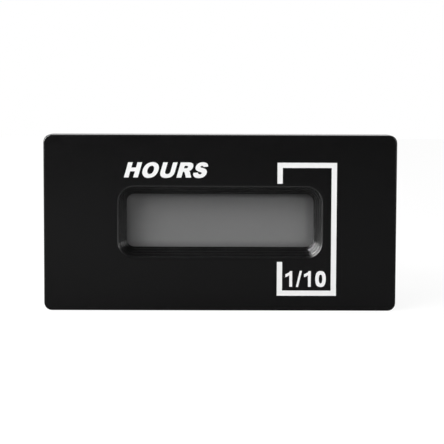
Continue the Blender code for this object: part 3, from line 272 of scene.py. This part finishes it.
class Wiring:
    """A node tree under construction, with short ways to add nodes."""

    def __init__(self, owner):
        owner.use_nodes = True
        self.tree = owner.node_tree

    def node(self, kind, inputs=None, **options):
        """A new node with its options, its inputs linked or set."""
        made = self.tree.nodes.new(kind)
        for key, value in options.items():
            setattr(made, key, value)
        for key, value in (inputs or {}).items():
            self.feed(made.inputs[key], value)
        return made

    def feed(self, socket, value):
        """Links a socket, or sets its value."""
        if isinstance(value, bpy.types.NodeSocket):
            self.tree.links.new(value, socket)
        else:
            socket.default_value = value

    def math(self, operation, first, second=0.0):
        """One sum on one or two values."""
        return self.node("ShaderNodeMath", {0: first, 1: second}, operation=operation).outputs[0]

    def largest(self, *values):
        """The largest of several values."""
        level = values[0]
        for value in values[1:]:
            level = self.math("MAXIMUM", level, value)
        return level

    def spread(self, value, low, high, start=0.3, end=0.7):
        """A smooth change from low to high while a value goes from start to end."""
        ends = {"Value": value, "From Min": start, "From Max": end, "To Min": low, "To Max": high}
        return self.node("ShaderNodeMapRange", ends, interpolation_type="SMOOTHSTEP").outputs["Result"]

    def parts(self, vector):
        """The three parts of a vector."""
        return self.node("ShaderNodeSeparateXYZ", {0: vector}).outputs

    def coordinates(self, kind):
        """The place or the way that a texture is laid by."""
        return self.node("ShaderNodeTexCoord").outputs[kind]

    def ray(self, *kinds):
        """One for a ray of any of the given kinds, and zero for all others."""
        path = self.node("ShaderNodeLightPath").outputs
        return self.largest(*(path[f"Is {kind} Ray"] for kind in kinds))


class Surface(Wiring):
    """A node material under construction, laid by the object's own coordinates."""

    def __init__(self, name, base, roughness, metallic=0.0, specular=0.5):
        self.material = bpy.data.materials.new(name)
        super().__init__(self.material)
        self.shader = self.tree.nodes["Principled BSDF"]
        self.base = opaque(base)
        self.material.diffuse_color = self.base
        self.settle("Base Color", self.base)
        self.settle("Roughness", roughness)
        self.settle("Metallic", metallic)
        self.settle("Specular IOR Level", specular)
        self.place = self.coordinates("Object")

    def settle(self, key, value):
        """Links or sets an input of the shader."""
        self.feed(self.shader.inputs[key], value)

    def present(self, key):
        """What an input of the shader has so far, its link or else its value."""
        socket = self.shader.inputs[key]
        return socket.links[0].from_socket if socket.is_linked else socket.default_value

    def noise(self, grain, detail=2.0, stretch=(1.0, 1.0, 1.0)):
        """Noise with a grain of the given size in metres, drawn out along an axis with a small factor."""
        placed = self.node("ShaderNodeMapping", {"Vector": self.place, "Scale": stretch})
        inputs = {"Vector": placed.outputs[0], "Scale": 1.0 / grain, "Detail": detail}
        return self.node("ShaderNodeTexNoise", inputs).outputs["Fac"]

    def blend(self, factor, first, second):
        """Two colours mixed by a factor, or two numbers if the first is a plain one."""
        numbers = isinstance(first, (int, float))
        start = 2 if numbers else 6
        inputs = {0: factor, start: first, start + 1: second}
        made = self.node("ShaderNodeMix", inputs, data_type="FLOAT" if numbers else "RGBA")
        return made.outputs[0 if numbers else 2]

    def along(self, axis):
        """A point's place along one axis, in metres."""
        return self.parts(self.place)[axis]

    def inside(self, low, high):
        """One inside a box given by two corners, and zero outside it."""
        low, high = Vector(low), Vector(high)
        off = self.node("ShaderNodeVectorMath", {0: self.place, 1: (low + high) / 2}, operation="SUBTRACT")
        far = self.node("ShaderNodeVectorMath", {0: off.outputs[0]}, operation="ABSOLUTE")
        inputs = {0: far.outputs[0], 1: (high - low) / 2}
        share = self.node("ShaderNodeVectorMath", inputs, operation="DIVIDE")
        widest = self.largest(*self.parts(share.outputs[0]))
        return self.math("LESS_THAN", widest, 1.0)

    def past(self, low, high, radius):
        """How far a point lies outside an upright rounded rectangle, with a minus sign inside it."""
        middle, half = (low + high) / 2, (high - low) / 2
        gaps = []
        for axis in (0, 2):
            off = self.math("ABSOLUTE", self.math("SUBTRACT", self.along(axis), middle[axis]))
            gaps.append(self.math("SUBTRACT", off, half[axis] - radius))
        squares = [self.math("POWER", self.math("MAXIMUM", gap, 0.0), 2.0) for gap in gaps]
        corner = self.math("SQRT", self.math("ADD", *squares))
        straight = self.math("MINIMUM", self.math("MAXIMUM", *gaps), 0.0)
        return self.math("SUBTRACT", self.math("ADD", corner, straight), radius)

    def tint(self, factor, base):
        """Another colour laid over the present one by a factor."""
        self.settle("Base Color", self.blend(factor, self.present("Base Color"), opaque(base)))

    def bump(self, height, depth):
        """Relief of a given depth in metres, over any relief that the surface already has."""
        made = self.node("ShaderNodeBump", {"Height": height, "Distance": depth})
        if self.shader.inputs["Normal"].is_linked:
            self.feed(made.inputs["Normal"], self.present("Normal"))
        self.settle("Normal", made.outputs[0])

    def mottle(self, amount, grain=6 * MM):
        """Slow variation of the colour, lighter and darker by a share."""
        dark, light = opaque(self.base, 1 - amount), opaque(self.base, 1 + amount)
        self.settle("Base Color", self.blend(self.noise(grain, 3.0), dark, light))

    def polish(self, low, high, grain=1.5 * MM, stretch=(1.0, 1.0, 1.0)):
        """Roughness that varies between two values."""
        self.settle("Roughness", self.spread(self.noise(grain, 3.0, stretch), low, high))

    def part(self, mask, base, roughness, metallic):
        """A second finish where the mask is zero."""
        self.settle("Base Color", self.blend(mask, opaque(base), self.present("Base Color")))
        self.settle("Roughness", self.blend(mask, roughness, self.present("Roughness")))
        # The rest goes back to the value that it was made with, so only the last finish can be metal
        rest = self.shader.inputs["Metallic"].default_value
        self.settle("Metallic", self.blend(mask, metallic, rest))

    def beyond(self, low, high, base, roughness, metallic=0.0):
        """A second finish outside a box, such as the wires of a coated part."""
        self.part(self.inside(low, high), base, roughness, metallic)

    def within(self, low, high, base, roughness, metallic=0.0):
        """A second finish inside a box, such as a band."""
        self.part(self.math("SUBTRACT", 1.0, self.inside(low, high)), base, roughness, metallic)


def moulded(name, base, roughness, grain, depth, specular=0.5, uneven=0.05):
    """Spark-eroded moulded plastic: fine grain, slow variation of gloss and colour."""
    made = Surface(name, base, roughness, specular=specular)
    made.mottle(2 * uneven)
    made.polish(roughness - 0.8 * uneven, roughness + uneven)
    made.bump(made.noise(grain, 4.0), depth)
    return made


def metal(name, base, roughness, stretch, depth=2e-6):
    """Drawn or stamped metal, with fine lines along one axis."""
    made = Surface(name, base, roughness, metallic=1.0)
    made.mottle(0.08, 3 * MM)
    made.polish(roughness - 0.06, roughness + 0.1, 0.3 * MM, stretch)
    made.bump(made.noise(0.12 * MM, 3.0, stretch), depth)
    return made


def clear(name, base, roughness, index, polished, grain):
    """Clear glass or plastic, which lets light straight through, so that it casts no black shadow."""
    made = Surface(name, base, roughness)
    made.settle("Transmission Weight", 1.0)
    made.settle("IOR", index)
    made.polish(*polished, grain)
    through = made.node("ShaderNodeBsdfTransparent")
    inputs = {0: made.ray("Shadow", "Diffuse"), 1: made.shader.outputs[0], 2: through.outputs[0]}
    both = made.node("ShaderNodeMixShader", inputs)
    made.feed(made.tree.nodes["Material Output"].inputs["Surface"], both.outputs[0])
    return made


def merged(mesh, gap=2e-7):
    """A mesh as a bmesh, its loose triangles joined and its flat faces whole."""
    bm = bmesh.new()
    bm.from_mesh(mesh)
    bmesh.ops.remove_doubles(bm, verts=bm.verts, dist=gap)
    bmesh.ops.dissolve_limit(
        bm, angle_limit=FLAT, verts=bm.verts, edges=bm.edges, use_dissolve_boundaries=False
    )
    return bm


def piece(name, bm, surface, body):
    """The object that a finished bmesh becomes, riding on its body."""
    mesh = bpy.data.meshes.new(name)
    bm.to_mesh(mesh)
    bm.free()
    mesh.materials.clear()
    mesh.materials.append(surface.material)
    for polygon in mesh.polygons:
        polygon.material_index = 0
    mesh.shade_smooth()
    mesh.set_sharp_from_angle(angle=SHARP)
    made = bpy.data.objects.new(name, mesh)
    bpy.context.scene.collection.objects.link(made)
    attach(made, body)
    return made


def dressed(node, name, surface, body=METER, edge=0.0):
    """A finished piece that stands for a CAD node, its sharp edges softened."""
    made = piece(name, merged(frame["nodes"][node].data), surface, body)
    if edge:
        soft = made.modifiers.new("soft edges", "BEVEL")
        soft.width = edge
        soft.segments = 2
        soft.limit_method = "ANGLE"
        soft.angle_limit = SHARP
        soft.harden_normals = True
    even = made.modifiers.new("even shading", "WEIGHTED_NORMAL")
    even.keep_sharp = True
    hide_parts(node)
    return made


def coated(node, surface):
    """A CAD node that keeps its shape and gets its finish."""
    slots = frame["nodes"][node].data.materials
    slots.clear()
    slots.append(surface.material)


def inset(node, low, high=None):
    """The corners of a node's box, each moved inwards by an amount in millimetres along each axis."""
    near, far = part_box(node)
    return near + Vector(low) * MM, far - Vector(high or low) * MM


def drawn(path):
    """The knots of a closed path, each as (place, handle before, handle after)."""
    tokens = path.split()
    knots, at = [], 0

    def point():
        nonlocal at
        at += 2
        return Vector((float(tokens[at - 2]), float(tokens[at - 1]), 0.0))

    while at < len(tokens):
        mark = tokens[at]
        at += 1
        if mark in "ML":
            place = point()
            knots.append([place, place.copy(), place.copy()])
        elif mark == "C":
            knots[-1][2] = point()
            before, place = point(), point()
            knots.append([place, before, place.copy()])
    if (knots[0][0] - knots[-1][0]).length < 1e-6:
        knots[0][1] = knots.pop()[1]
    return knots


def printed(name, shapes, surface, thickness):
    """Flat ink on the face, from (path, placing matrix) pairs in the plane of the face."""
    curve = bpy.data.curves.new(name, "CURVE")
    curve.dimensions = "2D"
    curve.fill_mode = "BOTH"
    curve.extrude = thickness / 2
    curve.resolution_u = 10
    for path, placing in shapes:
        knots = drawn(path)
        spline = curve.splines.new("BEZIER")
        spline.use_cyclic_u = True
        spline.bezier_points.add(len(knots) - 1)
        for target, (place, before, after) in zip(spline.bezier_points, knots):
            target.handle_left_type = target.handle_right_type = "FREE"
            target.co = placing @ place
            target.handle_left = placing @ before
            target.handle_right = placing @ after
    helper = bpy.data.objects.new(name + "_outline", curve)
    bpy.context.scene.collection.objects.link(helper)
    bpy.context.view_layer.update()
    mesh = bpy.data.meshes.new_from_object(helper.evaluated_get(bpy.context.evaluated_depsgraph_get()))
    bpy.data.objects.remove(helper)
    bm = merged(mesh, 1e-7)
    front = FACE_FRONT - thickness / 2 + INK_SUNK * thickness
    place = Matrix.Translation((0.0, front, FACE_CENTRE.z))
    upright = Matrix.Rotation(math.pi / 2, 4, "X")
    bmesh.ops.transform(bm, matrix=place @ upright, verts=bm.verts)
    bmesh.ops.recalc_face_normals(bm, faces=bm.faces)
    return piece(name, bm, surface, METER)


def lettering(letters, height, base, slant):
    """The paths of a row of letters with the matrix that puts each in its place."""
    scale = height / 1000
    shapes = []
    for letter, across in letters:
        rows = (
            (scale, scale * math.tan(slant), 0, across * MM),
            (0, scale, 0, base),
            (0, 0, 1, 0),
            (0, 0, 0, 1),
        )
        shapes += [(path, Matrix(rows)) for path in GLYPHS[letter]]
    return shapes


class HOURMETER_OT_bezel(Operator):
    """Finish the moulded front bezel"""

    bl_idname = "hour_meter.bezel"
    bl_label = "Front bezel"

    def execute(self, context):
        sizes, colours = settings(context)
        satin = moulded(
            "satin_moulded_black", colours.bezel, 0.17, 0.09 * MM, 8e-7, specular=0.45, uneven=0.02
        )
        low, high = inset("window_lens", LIP_INSET)
        lip = satin.past(low, high, LIP_RADIUS)
        # A painted highlight along the lip of the recess: a thin pale line, weaker along its lower side
        line = satin.spread(satin.math("ABSOLUTE", lip), 1.0, 0.0, 0.03 * MM, 0.13 * MM)
        upper = satin.spread(satin.along(2), 0.15, 1.0, low.z - 0.2 * MM, low.z + 1.5 * MM)
        satin.tint(satin.math("MULTIPLY", line, upper), colours.painted_lip_highlight)
        # Of the walls the lower one is dull, and in the lower right corner only the rim is polished
        lower = satin.spread(satin.along(2), 0.12, 0.85, low.z + 1.2 * MM, low.z + 1.6 * MM)
        rim = satin.spread(lip, 0.1, 1.0, -1.0 * MM, -0.8 * MM)
        right = satin.spread(satin.along(2), rim, 1.0, low.z + 1.9 * MM, low.z + 2.6 * MM)
        walls = satin.spread(satin.along(0), lower, right, high.x - 2.25 * MM, high.x - 1.2 * MM)
        satin.settle("Specular IOR Level", satin.spread(lip, walls, FACE_POLISH, 0.0, 0.2 * MM))
        dressed("front_bezel", "bezel_moulding", satin, edge=sizes.moulded_edge)
        return {"FINISHED"}


class HOURMETER_OT_print(Operator):
    """Print the word, the bracket and the figures on the face"""

    bl_idname = "hour_meter.print"
    bl_label = "Printed face"

    def execute(self, context):
        sizes, colours = settings(context)
        ink = Surface("white_ink", colours.ink, 0.5, specular=0.35)
        ink.mottle(0.02, 1.2 * MM)
        ink.polish(0.42, 0.58, 0.4 * MM)
        ink.bump(ink.noise(0.06 * MM, 4.0), 1.5e-6)
        word = lettering(WORD, sizes.word_height, sizes.word_base, sizes.word_slant)
        printed("printed_word", word, ink, sizes.ink)
        figures = lettering(FIGURES, sizes.figure_height, sizes.figure_base, 0.0)
        printed("printed_figures", figures, ink, sizes.ink)
        printed("printed_bracket", [(BRACKET, Matrix.Diagonal((MM, MM, 1, 1)))], ink, sizes.ink)
        return {"FINISHED"}


class HOURMETER_OT_window(Operator):
    """Finish the lens, its seal and the grey front film"""

    bl_idname = "hour_meter.window"
    bl_label = "Window"

    def execute(self, context):
        sizes, colours = settings(context)
        lens = clear("clear_lens", (0.97, 0.975, 0.975), 0.03, 1.49, (0.02, 0.06), 4 * MM)
        dressed("window_lens", "window_lens_moulding", lens, edge=sizes.moulded_edge)
        coated("lens_seal", moulded("black_seal", colours.rubber, 0.8, 0.2 * MM, 6e-6))
        film = Surface("grey_polariser", colours.film, 0.5, specular=0.3)
        film.mottle(0.06, 0.4 * MM)
        border = film.past(*inset("window_lens", FILM_SHADE_LOW, FILM_SHADE_HIGH), FILM_SHADE_RADIUS)
        # Painted shade: the film darkens towards the border of the window
        film.tint(film.spread(border, 0.0, 1.0, -1.0 * MM, 0.1 * MM), colours.painted_film_shade)
        film.bump(film.noise(0.07 * MM, 3.0), 2e-6)
        coated("front_polariser", film)
        return {"FINISHED"}


def elastomer(node, base):
    """A soft contact strip with thin dark conducting layers in its core."""
    made = Surface("elastomer_" + node.rpartition("_")[2], base, 0.65)
    made.mottle(0.1, 1 * MM)
    inputs = {"Vector": made.place, "Scale": 1100.0}
    bands = made.node("ShaderNodeTexWave", inputs, wave_type="BANDS", bands_direction="X")
    core = made.inside(*inset(node, (-1, -1, 0.45)))
    layers = made.spread(bands.outputs["Fac"], 0.35, 1.0)
    dark = made.math("MULTIPLY", core, layers)
    made.part(made.math("SUBTRACT", 1.0, dark), (0.02, 0.02, 0.02), 0.7, 0.0)
    return made


class HOURMETER_OT_cell(Operator):
    """Finish the display glass, the reflector, the holder and the contact strips"""

    bl_idname = "hour_meter.cell"
    bl_label = "Display cell"

    def execute(self, context):
        sizes, colours = settings(context)
        glass = clear("display_glass", (0.88, 0.93, 0.91), 0.02, 1.52, (0.01, 0.05), 3 * MM)
        for node in ("display_front_glass", "display_rear_glass"):
            coated(node, glass)
        coated("rear_reflector", metal("silver_reflector", (0.55, 0.56, 0.55), 0.32, (1.0, 0.05, 0.05)))
        holder = moulded("holder_moulding", colours.holder, 0.55, 0.15 * MM, 5e-6)
        dressed("display_holder", "holder_moulding", holder, edge=sizes.moulded_edge)
        for node in ("contact_strip_upper", "contact_strip_lower"):
            coated(node, elastomer(node, colours.elastomer))
        return {"FINISHED"}


def circuit_board(node, colours):
    """Green resist with copper runs under it, and bare laminate at the cut edges."""
    made = Surface(node + "_resist", colours.resist, 0.36)
    made.mottle(0.1, 5 * MM)
    turned = made.node("ShaderNodeMapping", {"Vector": made.place, "Rotation": (math.pi / 2, 0.0, 0.0)})
    inputs = {
        "Vector": turned.outputs[0],
        "Scale": 1.0 / (4 * MM),
        "Mortar Size": 0.035,
        "Mortar Smooth": 0.2,
        "Row Height": 0.22,
    }
    runs = made.node("ShaderNodeTexBrick", inputs, offset=0.37, squash=0.6, squash_frequency=3)
    lines = runs.outputs["Fac"]
    made.tint(lines, opaque(colours.resist, 2.1))
    made.bump(lines, 1.8e-5)
    made.bump(made.noise(0.35 * MM), 3e-6)
    made.beyond(*inset(node, (0.01, -1, 0.01)), colours.laminate, 0.75)
    return made


class HOURMETER_OT_boards(Operator):
    """Finish the two circuit boards and the header between them"""

    bl_idname = "hour_meter.boards"
    bl_label = "Circuit boards"

    def execute(self, context):
        colours = context.scene.hour_meter_colours
        for node in ("display_board", "power_board"):
            coated(node, circuit_board(node, colours))
        header = moulded("header_moulding", colours.epoxy, 0.5, 0.15 * MM, 4e-6)
        low, high = inset("link_header", (-1, -1, -1))
        low.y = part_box("display_board")[1].y
        high.y = low.y + HEADER_BAR
        header.beyond(low, high, colours.tin, *TINNED)
        coated("link_header", header)
        return {"FINISHED"}


def supply_part(node, base, roughness, tin):
    """A coated part of the supply, with bare wires where it reaches its board."""
    made = moulded(node + "_coat", base, roughness, 0.25 * MM, 6e-6)
    low, high = inset(node, (-1, -1, -1))
    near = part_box(node)[0]
    if node == "smoothing_capacitor":
        made.within(low, (near.x + STRIPE_WIDTH, high.y, high.z), (0.5, 0.52, 0.55), 0.35)
        made.within(low, (high.x, near.y + CAN_TOP, high.z), (0.7, 0.7, 0.71), 0.3, 1.0)
    made.beyond(low, (high.x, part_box("power_board")[0].y, high.z), tin, *TINNED)
    return made


def resistor(node, base, tin):
    """A lacquered resistor with its value bands and bare wires."""
    made = moulded(node + "_lacquer", base, 0.4, 0.3 * MM, 5e-6)
    low, high = inset(node, (1.7, -1, -1))
    for band, start in BANDS:
        edge = low.x + start
        made.within((edge, low.y, low.z), (edge + BAND_WIDTH, high.y, high.z), band, 0.4)
    made.beyond(low, high, tin, *TINNED)
    return made


class HOURMETER_OT_parts(Operator):
    """Finish the chips, the crystal and the supply parts"""

    bl_idname = "hour_meter.parts"
    bl_label = "Board parts"

    def execute(self, context):
        colours = context.scene.hour_meter_colours
        for node, body in (("counter_chip", (0.9, -1, 0.9)), ("memory_chip", (-1, -1, 0.9))):
            epoxy = moulded(node + "_epoxy", colours.epoxy, 0.6, 0.12 * MM, 5e-6)
            epoxy.beyond(*inset(node, body), colours.tin, *TINNED)
            coated(node, epoxy)
        coated("timing_crystal", metal("drawn_can", (0.68, 0.68, 0.69), 0.26, (0.08, 1.0, 1.0)))
        for node, base, roughness in (
            ("dropper_capacitor", colours.film_box, 0.42),
            ("surge_varistor", colours.varistor, 0.3),
            ("bridge_rectifier", colours.epoxy, 0.5),
            ("smoothing_capacitor", colours.sleeve, 0.32),
        ):
            coated(node, supply_part(node, base, roughness, colours.tin))
        for node in ("dropper_resistor_1", "dropper_resistor_2"):
            coated(node, resistor(node, colours.resistor, colours.tin))
        return {"FINISHED"}


class HOURMETER_OT_screws(Operator):
    """Finish the screws of the holder and of the power board"""

    bl_idname = "hour_meter.screws"
    bl_label = "Screws"

    def execute(self, context):
        sizes, colours = settings(context)
        zinc = metal("zinc_plate", colours.zinc, 0.3, (1.0, 0.3, 1.0), 3e-6)
        for stem, count in (("holder_screw", 4), ("power_board_screw", 2)):
            for number in range(1, count + 1):
                node = f"{stem}_{number}"
                dressed(node, node + "_finished", zinc, edge=sizes.stamped_edge)
        return {"FINISHED"}


class HOURMETER_OT_case(Operator):
    """Finish the rear case with its ratchet teeth"""

    bl_idname = "hour_meter.case"
    bl_label = "Rear case"

    def execute(self, context):
        sizes, colours = settings(context)
        matt = moulded(
            "matt_moulded_black", colours.case, 0.68, 0.22 * MM, 6e-6, specular=0.32, uneven=0.02
        )
        dressed("rear_case", "case_moulding", matt, edge=sizes.moulded_edge)
        return {"FINISHED"}


class HOURMETER_OT_terminals(Operator):
    """Finish the two quick-connect tabs"""

    bl_idname = "hour_meter.terminals"
    bl_label = "Terminals"

    def execute(self, context):
        colours = context.scene.hour_meter_colours
        tin = metal("tinned_tab", colours.tin, 0.38, (1.0, 0.15, 1.0), 4e-7)
        for node in ("terminal_left", "terminal_right"):
            dressed(node, node + "_tab", tin)
        return {"FINISHED"}


class HOURMETER_OT_gasket(Operator):
    """Finish the panel gasket"""

    bl_idname = "hour_meter.gasket"
    bl_label = "Panel gasket"

    def execute(self, context):
        sizes, colours = settings(context)
        rubber = moulded("gasket_rubber", colours.rubber, 0.82, 0.3 * MM, 1.5e-5)
        dressed("panel_gasket", "gasket_ring", rubber, edge=sizes.moulded_edge)
        return {"FINISHED"}


class HOURMETER_OT_clip(Operator):
    """Finish the sliding mounting clip"""

    bl_idname = "hour_meter.clip"
    bl_label = "Mounting clip"

    def execute(self, context):
        sizes, colours = settings(context)
        nylon = moulded("clip_moulding", colours.clip, 0.6, 0.18 * MM, 4e-6, specular=0.32, uneven=0.02)
        dressed("mounting_clip", "clip_frame", nylon, CLIP, edge=sizes.moulded_edge)
        return {"FINISHED"}


def blank(owner):
    """The emptied node tree of a material or a world."""
    wiring = Wiring(owner)
    wiring.tree.nodes.clear()
    return wiring


def white_paper():
    """The floor: white to the camera but for shadows, with painted shade that makes it darker far in front
    and to the right.
    """
    material = bpy.data.materials.new("white_paper")
    wiring = blank(material)
    place = wiring.parts(wiring.coordinates("Object"))
    # Painted shade: the floor's colour falls off far in front and to the right, and shows in reflections and
    # bounced light
    depth = wiring.spread(place[1], 0.05, 0.16, FACE_FRONT - 420 * MM, FACE_FRONT - 70 * MM)
    across = wiring.spread(place[0], 1.15, 0.7, -60 * MM, 60 * MM)
    level = wiring.math("MULTIPLY", depth, across)
    shade = wiring.node("ShaderNodeCombineColor", {part: level for part in range(3)})
    matt = wiring.node("ShaderNodeBsdfDiffuse", {"Color": shade.outputs[0]})
    seen = wiring.math("MULTIPLY", wiring.ray("Camera"), PAPER_GLOW)
    # Only the floor behind the face is white in reflections and through the lens
    behind = wiring.spread(place[1], 0.0, PAPER_GLOW, FACE_FRONT, FACE_FRONT + 40 * MM)
    mirrored = wiring.math("MULTIPLY", wiring.ray("Glossy", "Transmission"), behind)
    glow = wiring.node("ShaderNodeEmission", {"Strength": wiring.largest(seen, mirrored)})
    both = wiring.node("ShaderNodeAddShader", {0: matt.outputs[0], 1: glow.outputs[0]})
    wiring.node("ShaderNodeOutputMaterial", {"Surface": both.outputs[0]})
    return material


def studio_air():
    """A room that is dark round the camera, paler at its sides, top and back, and white to the camera."""
    world = bpy.data.worlds.new("studio")
    bpy.context.scene.world = world
    wiring = blank(world)
    toward = wiring.parts(wiring.coordinates("Generated"))
    sides = [wiring.spread(toward[axis], *change) for axis, *change in AIR_SIDES]
    strength = wiring.largest(*sides, wiring.ray("Camera"))
    sky = wiring.node("ShaderNodeBackground", {"Color": (1.0, 1.0, 1.0, 1.0), "Strength": strength})
    wiring.node("ShaderNodeOutputWorld", {"Surface": sky.outputs[0]})


def lamp(name, way, size, power, along):
    """A soft lamp that faces the middle of the bezel."""
    light = bpy.data.lights.new(name, "AREA")
    light.shape = "RECTANGLE"
    light.size, light.size_y = size
    light.energy = power
    back = Vector(way).normalized()
    side = (Vector(along) - Vector(along).project(back)).normalized()
    turn = Matrix((side, back.cross(side), back)).transposed().to_4x4()
    made = bpy.data.objects.new(name, light)
    made.matrix_world = Matrix.Translation(FACE_MIDDLE + LAMP_REACH * back) @ turn
    bpy.context.scene.collection.objects.link(made)
    return made


def lay_floor(scene):
    """The white floor, just under the meter."""
    bm = bmesh.new()
    bmesh.ops.create_grid(bm, x_segments=1, y_segments=1, size=FLOOR_HALF)
    bmesh.ops.translate(bm, vec=(0.0, 0.0, CAD_BOX[0].z - FLOOR_GAP), verts=bm.verts)
    mesh = bpy.data.meshes.new("floor")
    bm.to_mesh(mesh)
    bm.free()
    mesh.materials.append(white_paper())
    floor = bpy.data.objects.new("floor", mesh)
    scene.collection.objects.link(floor)


def place_camera(scene):
    """A long lens a little above the middle of the face."""
    level = math.cos(CAMERA_PITCH)
    across, out = math.sin(CAMERA_YAW) * level, -math.cos(CAMERA_YAW) * level
    back = Vector((across, out, math.sin(CAMERA_PITCH)))
    camera = bpy.data.cameras.new("camera")
    camera.sensor_width = CAMERA_SENSOR
    camera.lens = CAMERA_LENS
    camera.clip_start, camera.clip_end = 0.01, 10.0
    seen = bpy.data.objects.new("camera", camera)
    turn = (-back).to_track_quat("-Z", "Y").to_matrix().to_4x4() @ Matrix.Rotation(CAMERA_ROLL, 4, "Z")
    seen.matrix_world = Matrix.Translation(FACE_MIDDLE + CAMERA_AIM + back * CAMERA_REACH) @ turn
    scene.collection.objects.link(seen)
    scene.camera = seen


class HOURMETER_OT_stage(Operator):
    """Set up the floor, the air, the lamps and the camera"""

    bl_idname = "hour_meter.stage"
    bl_label = "Studio"

    def execute(self, context):
        scene = context.scene
        lay_floor(scene)
        studio_air()
        lamps = {name: lamp(name, *setting) for name, setting in LAMPS.items()}
        # The glint shines only on the bezel, and shows only in its reflections
        glint = lamps["key_glint"]
        glint.visible_diffuse = False
        glint.light_linking.receiver_collection = bpy.data.collections.new("glint_receivers")
        glint.light_linking.receiver_collection.objects.link(bpy.data.objects["bezel_moulding"])
        place_camera(scene)
        scene.view_settings.view_transform = "Standard"
        return {"FINISHED"}


STEPS = (
    HOURMETER_OT_bezel,
    HOURMETER_OT_print,
    HOURMETER_OT_window,
    HOURMETER_OT_cell,
    HOURMETER_OT_boards,
    HOURMETER_OT_parts,
    HOURMETER_OT_screws,
    HOURMETER_OT_case,
    HOURMETER_OT_terminals,
    HOURMETER_OT_gasket,
    HOURMETER_OT_clip,
    HOURMETER_OT_stage,
)


class HOURMETER_PT_panel(Panel):
    """Sizes, colours and steps of the hour meter"""

    bl_label = "Hour meter"
    bl_space_type = "VIEW_3D"
    bl_region_type = "UI"
    bl_category = "Hour meter"

    def draw(self, context):
        for group in settings(context):
            for name in group.__annotations__:
                self.layout.prop(group, name)
        for step in STEPS:
            self.layout.operator(step.bl_idname)


CLASSES = (HourMeterSizes, HourMeterColours, *STEPS, HOURMETER_PT_panel)


def register():
    for cls in CLASSES:
        bpy.utils.register_class(cls)
    bpy.types.Scene.hour_meter_sizes = PointerProperty(type=HourMeterSizes)
    bpy.types.Scene.hour_meter_colours = PointerProperty(type=HourMeterColours)


def unregister():
    del bpy.types.Scene.hour_meter_sizes
    del bpy.types.Scene.hour_meter_colours
    for cls in reversed(CLASSES):
        bpy.utils.unregister_class(cls)


def main():
    kept = set(frame["nodes"].values()) | set(frame["bodies"].values())
    for left in [obj for obj in bpy.data.objects if obj not in kept]:
        bpy.data.objects.remove(left, do_unlink=True)
    register()
    for step in STEPS:
        getattr(bpy.ops.hour_meter, step.bl_idname.rpartition(".")[2])()


if __name__ == "__main__":
    main()
